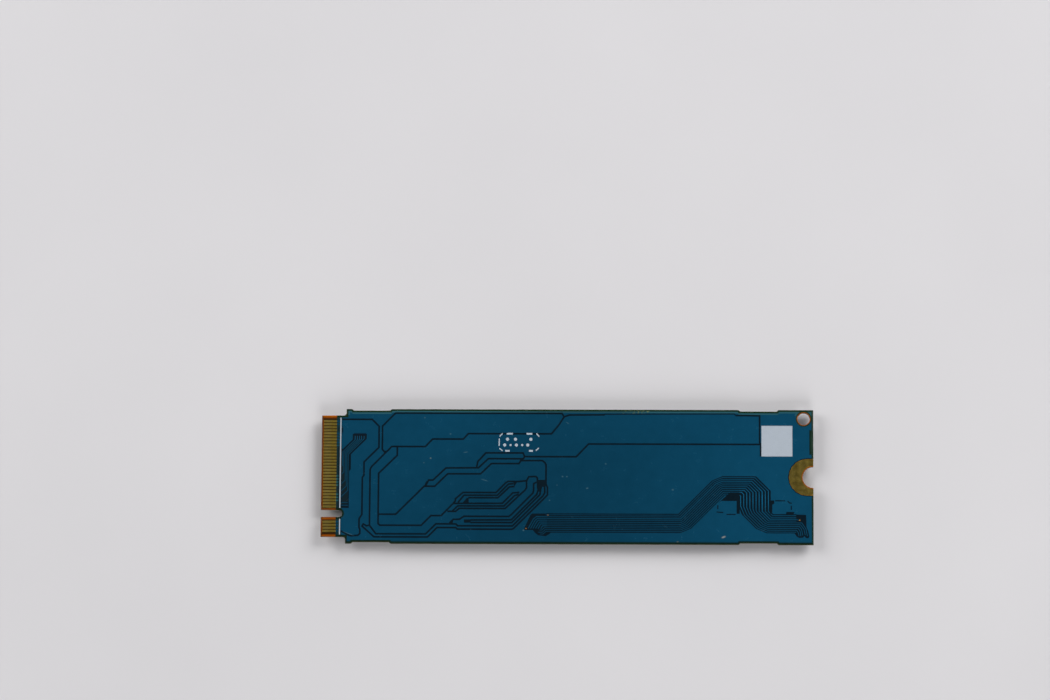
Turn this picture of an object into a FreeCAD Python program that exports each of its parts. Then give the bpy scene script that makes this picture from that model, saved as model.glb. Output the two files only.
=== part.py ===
import FreeCAD, Part
import math
import os

import Sketcher
from FreeCAD import Vector

# A solid-state drive on a 22 x 80 mm plug-in card with components on one side only.
# It lies bare side up, on the tops of its chips. X runs from the contact edge to the
# screw end, Y across the card, Z up. The origin is under the middle of the card, on the
# plane that the drive rests on. All lengths are in millimetres.

SIZES = (
    # The card.
    ("board_length", 80.0, "contact edge to screw end"),
    ("board_width", 22.0, "across the card"),
    ("laminate_thickness", 0.73, "bare laminate"),
    ("shoulder_step", 1.075, "how far the tongue is set in from each long edge"),
    ("tongue_length", 4.0, "contact edge to shoulders"),
    ("shoulder_radius", 0.5, "inner corners of the shoulders"),
    ("edge_bevel", 0.15, "lead-in along the contact edge"),
    ("key_offset", 6.125, "key notch below the middle line"),
    ("key_width", 1.2, "key notch"),
    ("key_depth", 3.5, "key notch, with its round end"),
    ("recess_length", 6.5, "breakaway recesses in the long edges"),
    ("recess_slope", 0.3, "run of a recess's sloping ends"),
    ("recess_depth", 0.25, "breakaway recesses"),
    ("near_recess", 4.9, "contact edge to the first recesses"),
    ("far_recess", 5.65, "screw end to the last recesses"),
    ("screw_radius", 1.75, "half-round screw notch"),
    ("tooling_radius", 1.0, "tooling hole"),
    ("tooling_from_end", 1.55, "tooling hole to screw end"),
    ("tooling_from_edge", 1.45, "tooling hole to the upper long edge"),
    # Layers on the laminate.
    ("copper_thickness", 0.035, "pours, traces and pads"),
    ("mask_base", 0.01, "mask between the pours, above the copper's level"),
    ("mask_raise", 0.012, "mask above that level, over copper"),
    ("print_thickness", 0.012, "white print"),
    ("finger_thickness", 0.04, "contacts and ground pads with their gold"),
    ("pour_setback", 0.3, "card edge to copper"),
    ("edge_recess", 0.35, "further setback of the pour by the white square"),
    ("mask_setback", 0.05, "card edge to mask"),
    ("hole_clearance", 0.12, "bare ring round the tooling hole and the screw notch"),
    # Contacts.
    ("contact_pitch", 0.5, "contacts of one side"),
    ("contact_width", 0.35, "one contact"),
    ("contact_length", 2.15, "one contact"),
    ("contact_setback", 0.3, "card edge to contacts"),
    ("contact_margin", 0.45, "least distance from a contact to the tongue's sides"),
    ("key_clearance", 0.3, "least distance from a contact to the key notch"),
    ("pour_start", 3.3, "contact edge to the first pour"),
    ("stub_width", 0.2, "copper that leads off a contact"),
    ("pad_radius", 3.0, "ground pad round the screw notch"),
    ("pad_inset", 1.0, "screw end to the centre of the ground pad"),
    # Routing.
    ("routing_grid", 0.05, "routes turn on this grid"),
    ("gap_width", 0.28, "etched gap between pours"),
    ("thin_gap", 0.18, "etched gap at crowded places"),
    ("trace_width", 0.12, "one trace"),
    ("wide_trace", 0.18, "one of the wider traces"),
    ("bundle_pitch", 0.3, "traces of the long bundle on its straight runs"),
    ("bundle_rise_pitch", 0.43, "the same on the way up, measured across the card"),
    ("bundle_fall_pitch", 0.5, "the same on the way down, measured along the card"),
    ("bundle_low", 9.07, "middle line to the bundle's low runs"),
    ("bundle_high", 2.9, "middle line to the bundle's raised run"),
    ("bundle_start", 36.6, "contact edge to the start of the bundle"),
    ("bundle_climb", 59.43, "contact edge to the way up"),
    ("bundle_fall", 68.0, "contact edge to the way down"),
    ("bundle_foot", 71.47, "contact edge to the end of the way down"),
    ("bundle_end", 77.2, "contact edge to the end of the bundle"),
    ("bend_length", 0.35, "bevel of the innermost bend"),
    # White print.
    ("line_start", 2.95, "contact edge to the white line"),
    ("line_width", 0.24, "white line"),
    ("line_overrun", 0.4, "white line beyond the outermost contacts"),
    ("line_margin", 0.3, "white line to the key notch"),
    ("square_side", 5.1, "white square"),
    ("square_from_end", 3.35, "screw end to the white square"),
    ("square_offset", 3.35, "white square above the middle line"),
    ("dash_width", 0.28, "dashed outline, along its long sides"),
    ("thin_dash", 0.18, "dashed outline, at its corners and its short side"),
    ("dot_radius", 0.27, "large dots inside the outline"),
    ("small_dot_radius", 0.19, "small dots between them"),
    # Zones along the component side.
    ("contact_zone", 4.5, "contact edge to the power parts"),
    ("power_zone", 10.0, "length of the power section"),
    ("screw_zone", 6.5, "length kept free at the screw end"),
    ("window_margin", 0.5, "package edge to the mask opening under it"),
    ("ball_standoff", 0.25, "laminate's copper level to a package"),
    # Packages.
    ("controller_length", 14.0, "controller package, along the card"),
    ("controller_width", 14.0, "controller package, across the card"),
    ("controller_height", 1.1, "controller package with its balls"),
    ("dram_length", 7.5, "memory package, along the card"),
    ("dram_width", 13.3, "memory package, across the card"),
    ("dram_height", 1.0, "memory package with its balls"),
    ("flash_length", 12.0, "flash package, along the card"),
    ("flash_width", 18.0, "flash package, across the card"),
    ("flash_height", 1.2, "flash package with its balls"),
    ("ball_radius", 0.25, "solder balls"),
    ("controller_ball_pitch", 2.4, "columns and rows of the controller's balls"),
    ("dram_ball_pitch", 1.5, "columns and rows of the memory's balls"),
    ("flash_ball_pitch", 2.2, "columns and rows of a flash package's balls"),
    # Power parts and small chips.
    ("small_chip_height", 0.75, "power, sensor, switch and boot chips"),
    ("power_chip_side", 4.0, "power management chip"),
    ("switch_side", 2.0, "load switch"),
    ("sensor_side", 1.6, "temperature sensor"),
    ("boot_length", 3.0, "boot flash chip, along the card"),
    ("boot_width", 2.0, "boot flash chip, across the card"),
    ("crystal_length", 2.5, "crystal, along the card"),
    ("crystal_width", 2.0, "crystal, across the card"),
    ("crystal_height", 0.55, "crystal"),
    ("inductor_length", 2.5, "inductors, along the card"),
    ("inductor_width", 2.0, "inductors, across the card"),
    ("inductor_height", 1.2, "inductors"),
    ("inductor_bevel", 0.25, "upright edges of the inductors"),
    # Passive parts with two end caps.
    ("large_length", 2.0, "large capacitor over its end caps"),
    ("large_width", 1.25, "large capacitor"),
    ("large_height", 0.85, "large capacitor"),
    ("small_length", 1.0, "small capacitor over its end caps"),
    ("small_width", 0.5, "small capacitor"),
    ("small_height", 0.5, "small capacitor"),
    ("resistor_length", 1.0, "resistor over its end caps"),
    ("resistor_width", 0.5, "resistor"),
    ("resistor_height", 0.35, "resistor"),
    ("fuse_length", 1.6, "fuse over its end caps"),
    ("fuse_width", 0.8, "fuse"),
    ("fuse_height", 0.45, "fuse"),
    ("cap_share", 0.25, "end cap's length, as a share of its part"),
    ("body_inset", 0.02, "how far end caps stand proud of a body"),
    ("land_margin", 0.12, "bare copper round a small part"),
    ("parts_grid", 1.0, "grid of the power section"),
    ("row_gap", 0.7, "package edge to a row of small parts"),
    ("row_pitch", 2.4, "small parts along a row"),
    ("column_pitch", 3.0, "small parts across the card"),
)

document = FreeCAD.newDocument("drive")
sheet = document.addObject("Spreadsheet::Sheet", "sizes")
for row, (alias, amount, meaning) in enumerate(SIZES, start=1):
    sheet.set(f"A{row}", meaning)
    sheet.set(f"B{row}", str(amount))
    sheet.setAlias(f"B{row}", alias)
document.recompute()

# Levels. The tallest part reaches down to the resting plane, and everything else is
# measured up from there.
SEAT = "max(sizes.flash_height; sizes.inductor_height; sizes.controller_height)"
LAMINATE_LOW = f"({SEAT} + sizes.copper_thickness)"
LAMINATE_HIGH = f"({LAMINATE_LOW} + sizes.laminate_thickness)"
CONTACT_EDGE = "(-sizes.board_length / 2)"
SCREW_END = "(sizes.board_length / 2)"
LOWER_EDGE = "(-sizes.board_width / 2)"
TONGUE_HALF = "(sizes.board_width / 2 - sizes.shoulder_step)"
TOOLING_X = f"({SCREW_END} - sizes.tooling_from_end)"
TOOLING_Y = "(sizes.board_width / 2 - sizes.tooling_from_edge)"
MIDDLE = "0"

# The packages stand in line behind the power section, with equal spaces between them.
SPACE = (
    "((sizes.board_length - sizes.contact_zone - sizes.power_zone - sizes.controller_length"
    " - sizes.dram_length - 2 * sizes.flash_length - sizes.screw_zone) / 4)"
)
POWER_START = f"({CONTACT_EDGE} + sizes.contact_zone)"
CONTROLLER_X = f"({POWER_START} + sizes.power_zone + {SPACE} + sizes.controller_length / 2)"
DRAM_X = f"({CONTROLLER_X} + sizes.controller_length / 2 + {SPACE} + sizes.dram_length / 2)"
FLASH_1_X = f"({DRAM_X} + sizes.dram_length / 2 + {SPACE} + sizes.flash_length / 2)"
FLASH_2_X = f"({FLASH_1_X} + sizes.flash_length + {SPACE})"


def number(expression):
    """Value of an expression in the sheet's terms."""
    return float(sheet.evalExpression(expression))


def size(name):
    """One value of the sheet."""
    return number(f"sizes.{name}")


def bind(item, **expressions):
    """Tie properties of an object to expressions."""
    for name, expression in expressions.items():
        item.setExpression(name, expression)


def place(item, x, y, z):
    """Tie an object's position to three expressions."""
    for axis, expression in zip("xyz", (x, y, z)):
        item.setExpression(f"Placement.Base.{axis}", expression)


# Sketches.


def new_body(name):
    return document.addObject("PartDesign::Body", name)


def base_sketch(body, name):
    """Empty sketch on the horizontal plane of its own body."""
    sketch = body.newObject("Sketcher::SketchObject", name)
    plane = [item for item in body.Origin.OriginFeatures if item.Role == "XY_Plane"][0]
    sketch.AttachmentSupport = [(plane, "")]
    sketch.MapMode = "FlatFace"
    return sketch


def pin_point(sketch, edge, end, x, y):
    """Tie one end or centre of a sketched edge to a position."""
    for kind, expression in (("DistanceX", x), ("DistanceY", y)):
        amount = number(expression)
        index = sketch.addConstraint(Sketcher.Constraint(kind, -1, 1, edge, end, amount))
        sketch.setExpression(f"Constraints[{index}]", expression)


def sketch_polygon(sketch, corners):
    """Closed outline through corners that are pairs of expressions."""
    points = [Vector(number(x), number(y), 0) for x, y in corners]
    first = sketch.GeometryCount
    count = len(points)
    for index in range(count):
        line = Part.LineSegment(points[index], points[(index + 1) % count])
        sketch.addGeometry(line, False)
    for index in range(count):
        following = first + (index + 1) % count
        sketch.addConstraint(
            Sketcher.Constraint("Coincident", first + index, 2, following, 1)
        )
        pin_point(sketch, first + index, 1, *corners[index])


def sketch_rectangle(sketch, x, y, length, width):
    """Rectangle round a centre."""
    low_x, high_x = f"{x} - {length} / 2", f"{x} + {length} / 2"
    low_y, high_y = f"{y} - {width} / 2", f"{y} + {width} / 2"
    sketch_polygon(
        sketch, [(low_x, low_y), (high_x, low_y), (high_x, high_y), (low_x, high_y)]
    )


def sketch_circle(sketch, x, y, radius):
    centre = Vector(number(x), number(y), 0)
    edge = sketch.addGeometry(Part.Circle(centre, Vector(0, 0, 1), number(radius)), False)
    pin_point(sketch, edge, 3, x, y)
    index = sketch.addConstraint(Sketcher.Constraint("Radius", edge, number(radius)))
    sketch.setExpression(f"Constraints[{index}]", radius)


def pad(body, sketch, name, length):
    feature = body.newObject("PartDesign::Pad", name)
    feature.Profile = sketch
    bind(feature, Length=length)
    document.recompute()
    return feature


def pocket(body, sketch, name, depth=None):
    """Cut a sketch upwards, through everything unless a depth is given."""
    before = body.Shape.Volume
    feature = body.newObject("PartDesign::Pocket", name)
    feature.Profile = sketch
    feature.Reversed = True
    if depth is None:
        feature.Type = "ThroughAll"
    else:
        bind(feature, Length=depth)
    document.recompute()
    if body.Shape.Volume >= before:
        raise RuntimeError(f"{name} cuts nothing")
    return feature


# The card.


def make_board():
    """Laminate with its tongue, shoulders, notches, recesses and tooling hole."""
    body = new_body("board")
    outline = base_sketch(body, "card_outline")
    shoulder = f"{CONTACT_EDGE} + sizes.tongue_length"
    high, low = "sizes.board_width / 2", LOWER_EDGE
    tongue_high, tongue_low = TONGUE_HALF, f"-{TONGUE_HALF}"
    sketch_polygon(
        outline,
        [
            (CONTACT_EDGE, tongue_low),
            (shoulder, tongue_low),
            (shoulder, low),
            (SCREW_END, low),
            (SCREW_END, high),
            (shoulder, high),
            (shoulder, tongue_high),
            (CONTACT_EDGE, tongue_high),
        ],
    )
    pad(body, outline, "card", "sizes.laminate_thickness")
    fillet_shoulders(body)

    key = base_sketch(body, "key_outline")
    straight = "(sizes.key_depth - sizes.key_width / 2)"
    sketch_rectangle(
        key, CONTACT_EDGE, "-sizes.key_offset", f"(2 * {straight})", "sizes.key_width"
    )
    pocket(body, key, "key_notch")
    key_end = base_sketch(body, "key_end_outline")
    sketch_circle(
        key_end, f"{CONTACT_EDGE} + {straight}", "-sizes.key_offset", "sizes.key_width / 2"
    )
    pocket(body, key_end, "key_notch_end")

    screw = base_sketch(body, "screw_outline")
    sketch_circle(screw, SCREW_END, MIDDLE, "sizes.screw_radius")
    pocket(body, screw, "screw_notch")
    tooling = base_sketch(body, "tooling_outline")
    sketch_circle(tooling, TOOLING_X, TOOLING_Y, "sizes.tooling_radius")
    pocket(body, tooling, "tooling_hole")
    cut_recesses(body)
    bevel_contact_edge(body)
    place(body, MIDDLE, MIDDLE, LAMINATE_LOW)
    return body


def vertical_edges_at(shape, x, distance):
    """Names of the upright edges at one distance from the middle line."""
    names = []
    for index, edge in enumerate(shape.Edges, start=1):
        box = edge.BoundBox
        upright = box.XLength < 1e-6 and box.YLength < 1e-6
        here = abs(box.XMin - x) < 1e-6 and abs(abs(box.YMin) - distance) < 1e-6
        if upright and here:
            names.append(f"Edge{index}")
    return names


def fillet_shoulders(body):
    shoulder = number(f"{CONTACT_EDGE} + sizes.tongue_length")
    names = vertical_edges_at(body.Shape, shoulder, number(TONGUE_HALF))
    base = body.Tip
    fillet = body.newObject("PartDesign::Fillet", "shoulder_rounds")
    fillet.Base = (base, names)
    bind(fillet, Radius="sizes.shoulder_radius")
    document.recompute()


def cut_recesses(body):
    """Shallow recesses that the breakaway tabs leave in both long edges."""
    near = f"{CONTACT_EDGE} + sizes.near_recess"
    far = f"{SCREW_END} - sizes.far_recess - sizes.recess_length"
    for start, place_name in ((near, "near"), (far, "far")):
        for side, side_name in ((1, "upper"), (-1, "lower")):
            edge = f"{side} * sizes.board_width / 2"
            floor = f"{side} * (sizes.board_width / 2 - sizes.recess_depth)"
            outside = f"{side} * (sizes.board_width / 2 + sizes.recess_depth)"
            end = f"{start} + sizes.recess_length"
            sketch = base_sketch(body, f"{place_name}_{side_name}_recess_outline")
            sketch_polygon(
                sketch,
                [
                    (start, outside),
                    (start, edge),
                    (f"{start} + sizes.recess_slope", floor),
                    (f"{end} - sizes.recess_slope", floor),
                    (end, edge),
                    (end, outside),
                ],
            )
            pocket(body, sketch, f"{place_name}_{side_name}_recess")


def bevel_contact_edge(body):
    edge_x = number(CONTACT_EDGE)
    names = []
    for index, edge in enumerate(body.Shape.Edges, start=1):
        box = edge.BoundBox
        if abs(box.XMax - edge_x) < 1e-6 and box.YLength > size("key_width"):
            names.append(f"Edge{index}")
    base = body.Tip
    bevel = body.newObject("PartDesign::Chamfer", "contact_bevel")
    bevel.Base = (base, names)
    bind(bevel, Size="sizes.edge_bevel")
    document.recompute()


# Flat regions, from which copper and mask are made.


RING_SIDES = 20
KEY_SIDES = 12
DOT_SIDES = 8


def flat_face(points):
    return Part.Face(Part.makePolygon(points + points[:1]))


def flat_rectangle(low_x, high_x, low_y, high_y):
    return flat_face(
        [
            Vector(low_x, low_y, 0),
            Vector(high_x, low_y, 0),
            Vector(high_x, high_y, 0),
            Vector(low_x, high_y, 0),
        ]
    )


def rim_points(x, y, radius, sides, first, last):
    """Corners of a many-sided rim, from one of its sides to another."""
    turns = [2 * math.pi * index / sides for index in range(first, last + 1)]
    return [Vector(x + radius * math.cos(turn), y + radius * math.sin(turn), 0) for turn in turns]


def flat_round(x, y, radius, sides):
    """Round field, drawn with as many sides as its size can show."""
    return flat_face(rim_points(x, y, radius, sides, 0, sides - 1))


def recess_plan(side, start, setback):
    """Breakaway recess of one long edge, grown by a setback."""
    edge = side * (size("board_width") / 2 + setback)
    floor = side * (size("board_width") / 2 - size("recess_depth") - setback)
    end = start + size("recess_length") + setback
    slope = size("recess_slope")
    return flat_face(
        [
            Vector(start - setback, edge, 0),
            Vector(start - setback + slope, floor, 0),
            Vector(end - slope, floor, 0),
            Vector(end, edge, 0),
        ]
    )


def card_plan(setback):
    """The card's outline, drawn in by a setback at every edge and hole."""
    edge, end = number(CONTACT_EDGE), number(SCREW_END)
    half = size("board_width") / 2 - setback
    tongue = number(TONGUE_HALF) - setback
    shoulder = edge + size("tongue_length") + setback
    corners = [(edge + setback, tongue), (shoulder, tongue), (shoulder, half),
               (end - setback, half)]
    mirrored = [(x, -y) for x, y in reversed(corners)]
    card = flat_face([Vector(x, y, 0) for x, y in corners + mirrored])
    key_radius = size("key_width") / 2 + setback
    key_end = edge + size("key_depth") - size("key_width") / 2
    key_y = -size("key_offset")
    near = edge + size("near_recess")
    far = end - size("far_recess") - size("recess_length")
    removed = [
        flat_rectangle(edge, key_end, key_y - key_radius, key_y + key_radius),
        flat_round(key_end, key_y, key_radius, KEY_SIDES),
        flat_round(end, 0, size("screw_radius") + setback, RING_SIDES),
        tooling_round(setback),
    ]
    removed += [recess_plan(side, start, setback) for side in (-1, 1) for start in (near, far)]
    return card.cut(removed)


def contact_end(length):
    """Region from the contact edge inwards, as wide as the card."""
    edge = number(CONTACT_EDGE)
    half = size("board_width")
    return flat_rectangle(edge - length, edge + length, -half, half)


def ground_pad_plan(grow=0.0):
    """Round-nosed pad that ends at the screw end."""
    end = number(SCREW_END)
    radius = size("pad_radius") + grow
    quarter = RING_SIDES // 4
    nose = rim_points(end - size("pad_inset"), 0, radius, RING_SIDES, quarter, 3 * quarter)
    return flat_face(nose + [Vector(end + radius, -radius, 0), Vector(end + radius, radius, 0)])


def tooling_round(grow):
    """The tooling hole, grown by a clearance."""
    radius = size("tooling_radius") + grow
    return flat_round(number(TOOLING_X), number(TOOLING_Y), radius, RING_SIDES)


def mask_plan():
    """Where the card carries mask, before the openings of one side."""
    plan = card_plan(size("mask_setback"))
    bare_end = contact_end(size("contact_setback") + size("contact_length"))
    return plan.cut([bare_end, ground_pad_plan(), tooling_round(size("hole_clearance"))])


def pour_plan():
    """Where the card can carry copper under its mask."""
    plan = card_plan(size("pour_setback"))
    return plan.cut([contact_end(size("pour_start")), ground_pad_plan(size("hole_clearance"))])


def slab(region, low, high):
    """Sheet of material between two levels."""
    sheet_of = region.extrude(Vector(0, 0, high - low))
    sheet_of.translate(Vector(0, 0, low))
    return sheet_of


# Routes. A route is a list of turning points on the routing grid. Columns count from the
# contact edge, and the middle row lies on the card's middle line.


MIDDLE_ROW = 220


def on_card(point):
    """Position of a grid point."""
    column, row = point
    grid = size("routing_grid")
    return Vector(column * grid + number(CONTACT_EDGE), (row - MIDDLE_ROW) * grid, 0)


def band(points, width):
    """Flat band of one width along a route, mitred at its bends."""
    runs = [(b - a).normalize() for a, b in zip(points, points[1:])]
    before = [runs[0]] + runs
    after = runs + [runs[-1]]
    left = []
    right = []
    for point, arriving, leaving in zip(points, before, after):
        across = (arriving + leaving).normalize().cross(Vector(0, 0, 1))
        reach = width / 2 / across.dot(leaving.cross(Vector(0, 0, 1)))
        left.append(point - across * reach)
        right.append(point + across * reach)
    return flat_face(left + right[::-1])


def gap(route, width):
    return band([on_card(point) for point in route], width)


def patch(route):
    """Etched area inside a closed route."""
    return flat_face([on_card(point) for point in route])


WIDE_GAPS = (
    # Edge of the pour behind the contacts.
    (
        (66, 406), (164, 406), (187, 383), (187, 314), (139, 266), (139, 222), (134, 216),
        (134, 94), (125, 80), (125, 52), (128, 46), (128, 32), (122, 26), (100, 24),
        (92, 26), (66, 40),
    ),
    # Upper pour, on both sides of its corner.
    ((790, 416), (783, 427), (240, 427), (198, 384), (198, 308), (208, 296)),
    ((790, 416), (806, 422), (922, 423)),
    ((790, 416), (772, 388), (749, 360), (478, 360), (462, 342), (362, 342), (338, 317),
     (229, 317), (164, 251), (159, 242), (159, 59), (180, 31), (342, 31), (375, 64),
     (440, 64), (446, 58), (624, 58), (722, 156), (728, 166), (728, 192)),
    # Loop in the lower corner and the line that leaves it.
    ((159, 59), (149, 57), (139, 63), (135, 56), (145, 47), (174, 21), (348, 21),
     (379, 52), (440, 52), (445, 47), (622, 47), (628, 50), (730, 152), (737, 160),
     (737, 184), (732, 196), (732, 258), (728, 266), (720, 272), (648, 272)),
    # Steps across the middle.
    ((247, 317), (247, 288), (187, 229), (187, 64), (193, 59), (327, 59), (359, 91),
     (392, 91), (430, 130), (438, 140), (438, 146), (462, 167), (570, 167), (601, 199),
     (609, 204), (640, 203), (669, 206)),
    ((187, 95), (244, 95), (336, 187), (370, 187), (412, 228), (519, 228), (554, 262),
     (644, 262), (652, 276)),
    ((340, 187), (350, 207), (364, 207), (406, 247), (512, 248), (544, 278), (658, 278),
     (662, 285)),
    ((506, 249), (510, 269), (536, 297), (657, 297), (662, 285), (830, 285), (870, 327),
     (1426, 327)),
    # Fingers that run up to the group of vias in the middle.
    ((446, 134), (466, 158), (574, 158), (610, 195), (626, 196)),
    ((480, 150), (576, 150), (614, 186), (630, 187)),
    ((432, 131), (591, 132), (624, 166), (646, 168)),
    ((428, 106), (446, 123), (596, 123), (630, 157), (644, 162)),
    ((412, 105), (439, 105), (450, 115), (600, 115), (654, 166), (664, 175), (669, 183),
     (669, 206), (676, 219), (700, 220), (704, 214), (704, 206)),
    ((429, 79), (451, 79), (466, 89), (612, 89), (620, 95), (690, 166), (692, 174),
     (692, 196), (702, 202)),
    ((488, 77), (620, 78), (702, 161), (707, 176)),
    ((488, 69), (622, 69), (712, 160), (715, 176)),
    # Right end of the upper pour.
    ((1429, 332), (1429, 288)),
    ((1348, 422), (1426, 421), (1426, 326)),
)

THIN_GAPS = (
    ((920, 425), (1344, 427), (1348, 422)),
    # Broken outlines of the two islands beside the bundle.
    ((1290, 115), (1290, 128)),
    ((1286, 106), (1308, 104)),
    ((1318, 98), (1348, 98)),
    ((1476, 143), (1508, 143)),
    ((1516, 143), (1522, 136), (1530, 135)),
    ((1528, 113), (1528, 127)),
    ((1512, 105), (1538, 105)),
)

PATCHES = (
    ((202, 303), (218, 303), (208, 296)),
    ((460, 132), (481, 132), (481, 150), (476, 150)),
    ((626, 204), (640, 204), (628, 186)),
    ((336, 188), (342, 203), (350, 205), (344, 190)),
    ((646, 270), (655, 279), (660, 270)),
    ((414, 64), (429, 64), (433, 80), (426, 78)),
    ((466, 68), (488, 68), (488, 79), (466, 79)),
    ((702, 209), (731, 209), (731, 186), (720, 186), (716, 170), (706, 170), (702, 186)),
    # Beside the bundle, under its raised run.
    ((1290, 134), (1302, 142), (1351, 142), (1351, 100), (1361, 100), (1361, 170), (1330, 170)),
    ((1459, 100), (1466, 102), (1467, 130), (1473, 134), (1473, 144), (1459, 144)),
    ((1510, 99), (1536, 97), (1536, 106), (1514, 106)),
)


# The long bundle. It runs low along the card, climbs at 45 degrees, falls upright and
# goes on low. Its outer traces turn in wider bends than its inner ones.


BUNDLE_TRACES = 10
FIRST_TRACE = 0.4
WIDER_TRACE = BUNDLE_TRACES - 3
AREA_FROM, AREA_TO = -0.3, BUNDLE_TRACES + 0.15
PLAIN_BENDS = 4
BEND_GROWTH = 0.4
BEND_SHARE = 0.35


def bundle_corners(rank):
    """Turning points of the bundle at one rank, 0 at its lower line and counting up."""
    pitch, fall = size("bundle_pitch"), size("bundle_fall_pitch")
    low = pitch * rank - size("bundle_low")
    high = pitch * rank - size("bundle_high")
    climb_start = size("bundle_climb") - (size("bundle_rise_pitch") - pitch) * rank
    drop_x = size("bundle_fall") + fall * rank
    corner = max(size("bend_length"), (fall * rank - size("bend_length")) / 2)
    foot_end = size("bundle_foot") + (fall - pitch) * rank
    corners = [
        (size("bundle_start"), low),
        (climb_start, low),
        (climb_start + high - low, high),
        (drop_x - corner, high),
        (drop_x, high - corner),
        (drop_x, low + foot_end - drop_x),
        (foot_end, low),
        (size("bundle_end"), low),
    ]
    return [Vector(x + number(CONTACT_EDGE), y, 0) for x, y in corners]


def bundle_route(rank):
    """Route of the bundle at one rank. Bends that have few traces inside stay plain."""
    points = bundle_corners(rank)
    other = BUNDLE_TRACES - rank
    ranks_inside = (other, rank, 0, 0, other, other)
    bevelled = [points[0]]
    for index, count in enumerate(ranks_inside, start=1):
        turn = points[index]
        if count < PLAIN_BENDS:
            bevelled.append(turn)
            continue
        back, ahead = points[index - 1] - turn, points[index + 1] - turn
        reach = size("bend_length") * (count - PLAIN_BENDS + 1) * BEND_GROWTH
        reach = min(reach, BEND_SHARE * back.Length, BEND_SHARE * ahead.Length)
        bevelled.append(turn + back.normalize() * reach)
        bevelled.append(turn + ahead.normalize() * reach)
    bevelled.append(points[-1])
    return bevelled


def bundle_area():
    """Etched area that the long bundle lies in."""
    return flat_face(bundle_route(AREA_FROM) + bundle_route(AREA_TO)[::-1])


def bundle_traces():
    traces = []
    for index in range(BUNDLE_TRACES):
        width = size("wide_trace" if index == WIDER_TRACE else "trace_width")
        traces.append(band(bundle_route(index + FIRST_TRACE), width))
    return traces


# Contacts. Their places count half pitches up from the middle line. The bare side has
# the even places and the component side the odd ones, as far as the tongue has room,
# and none where the key notch is.


EVEN, ODD = 0, 1


def contact_places(parity):
    step = size("contact_pitch") / 2
    half = size("contact_width") / 2
    room = number(TONGUE_HALF) - size("contact_margin") - half
    key_room = size("key_width") / 2 + size("key_clearance") + half
    last = int(room / step)
    places = [index for index in range(-last, last + 1) if index % 2 == parity]
    return [index for index in places if abs(index * step + size("key_offset")) > key_room]


def contact_y(index):
    """Place of a contact across the card."""
    return f"({index} * sizes.contact_pitch / 2)"


def make_contacts(name, parity, low):
    """Row of gold fingers."""
    fingers = []
    for count, index in enumerate(contact_places(parity), start=1):
        finger = document.addObject("Part::Box", f"{name}_{count}")
        bind(
            finger,
            Length="sizes.contact_length",
            Width="sizes.contact_width",
            Height="sizes.finger_thickness",
        )
        place(
            finger,
            f"{CONTACT_EDGE} + sizes.contact_setback",
            f"{contact_y(index)} - sizes.contact_width / 2",
            low,
        )
        fingers.append(finger)
    return group(name, fingers)


def group(name, members):
    """Several solids under one name."""
    compound = document.addObject("Part::Compound", name)
    compound.Links = members
    return compound


# Bare side.


CONNECTED = (
    36, 34, 28, 26, 24, 22, 20, 0, -2, -4, -6, -12, -14, -16, -30, -32, -34, -36,
)


def contact_stubs():
    """Short leads from the connected contacts towards the pours."""
    edge = number(CONTACT_EDGE)
    start = edge + size("contact_setback") + size("contact_length")
    half = size("stub_width") / 2
    stubs = []
    for index in contact_places(EVEN):
        if index in CONNECTED:
            y = number(contact_y(index))
            stubs.append(flat_rectangle(start, edge + size("pour_start"), y - half, y + half))
    return stubs


# Etched areas that hold groups of traces, and the traces in them: the comb of vias by the
# contacts, and the fans at the two ends of the long bundle. Most of them are as narrow as
# the bundle's, and those of the fan at its contact end are wider.


TRACE_AREAS = (
    (
        (60, 309), (70, 309), (101, 340), (101, 358), (147, 358), (147, 342), (96, 291),
        (96, 242), (91, 236), (91, 115), (60, 115),
    ),
    (
        (750, 38), (744, 32), (732, 25), (708, 28), (698, 35), (690, 45), (662, 45), (663, 52),
        (682, 94), (688, 99), (750, 99),
    ),
    (
        (1530, 37), (1538, 37), (1546, 26), (1554, 22), (1566, 23), (1570, 28), (1575, 22),
        (1583, 21), (1586, 27), (1583, 44), (1577, 58), (1576, 97), (1530, 99),
    ),
)

SHORT_TRACES = (
    # Comb of vias.
    ((109, 352), (109, 339), (69, 299), (69, 255), (63, 249)),
    ((116, 352), (116, 339), (73, 296), (73, 233), (63, 223)),
    ((123, 352), (123, 340), (78, 295), (78, 206), (63, 191)),
    ((130, 352), (130, 341), (82, 293), (82, 187), (63, 168)),
    ((138, 352), (138, 342), (87, 291), (87, 173), (63, 149)),
    ((63, 133), (88, 133)),
    ((63, 124), (88, 124)),
    # Vias at the contact end of the bundle.
    ((736, 53), (728, 53), (720, 45), (712, 45)),
    ((736, 47), (731, 47), (722, 38), (708, 38)),
    ((736, 41), (733, 41), (724, 32), (714, 32)),
    # Fan at the screw end of the bundle.
    ((1540, 83), (1552, 80)),
    ((1540, 71), (1562, 71), (1575, 52), (1580, 28)),
    ((1540, 65), (1558, 65), (1569, 50), (1573, 32)),
    ((1540, 59), (1554, 59), (1561, 50), (1565, 30)),
    ((1540, 53), (1550, 53), (1556, 45), (1559, 28)),
    ((1540, 47), (1545, 47), (1550, 40), (1553, 28)),
)

WIDE_SHORT_TRACES = (
    ((736, 89), (702, 89), (692, 81), (675, 50)),
    ((736, 83), (705, 83), (697, 76), (683, 50)),
    ((736, 77), (708, 77), (703, 72), (691, 50)),
    ((736, 71), (712, 71), (699, 50)),
    ((736, 65), (716, 65), (707, 49)),
    ((736, 59), (722, 59), (716, 49)),
)


EDGE_RECESS_ROWS = (294, 374)


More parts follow.
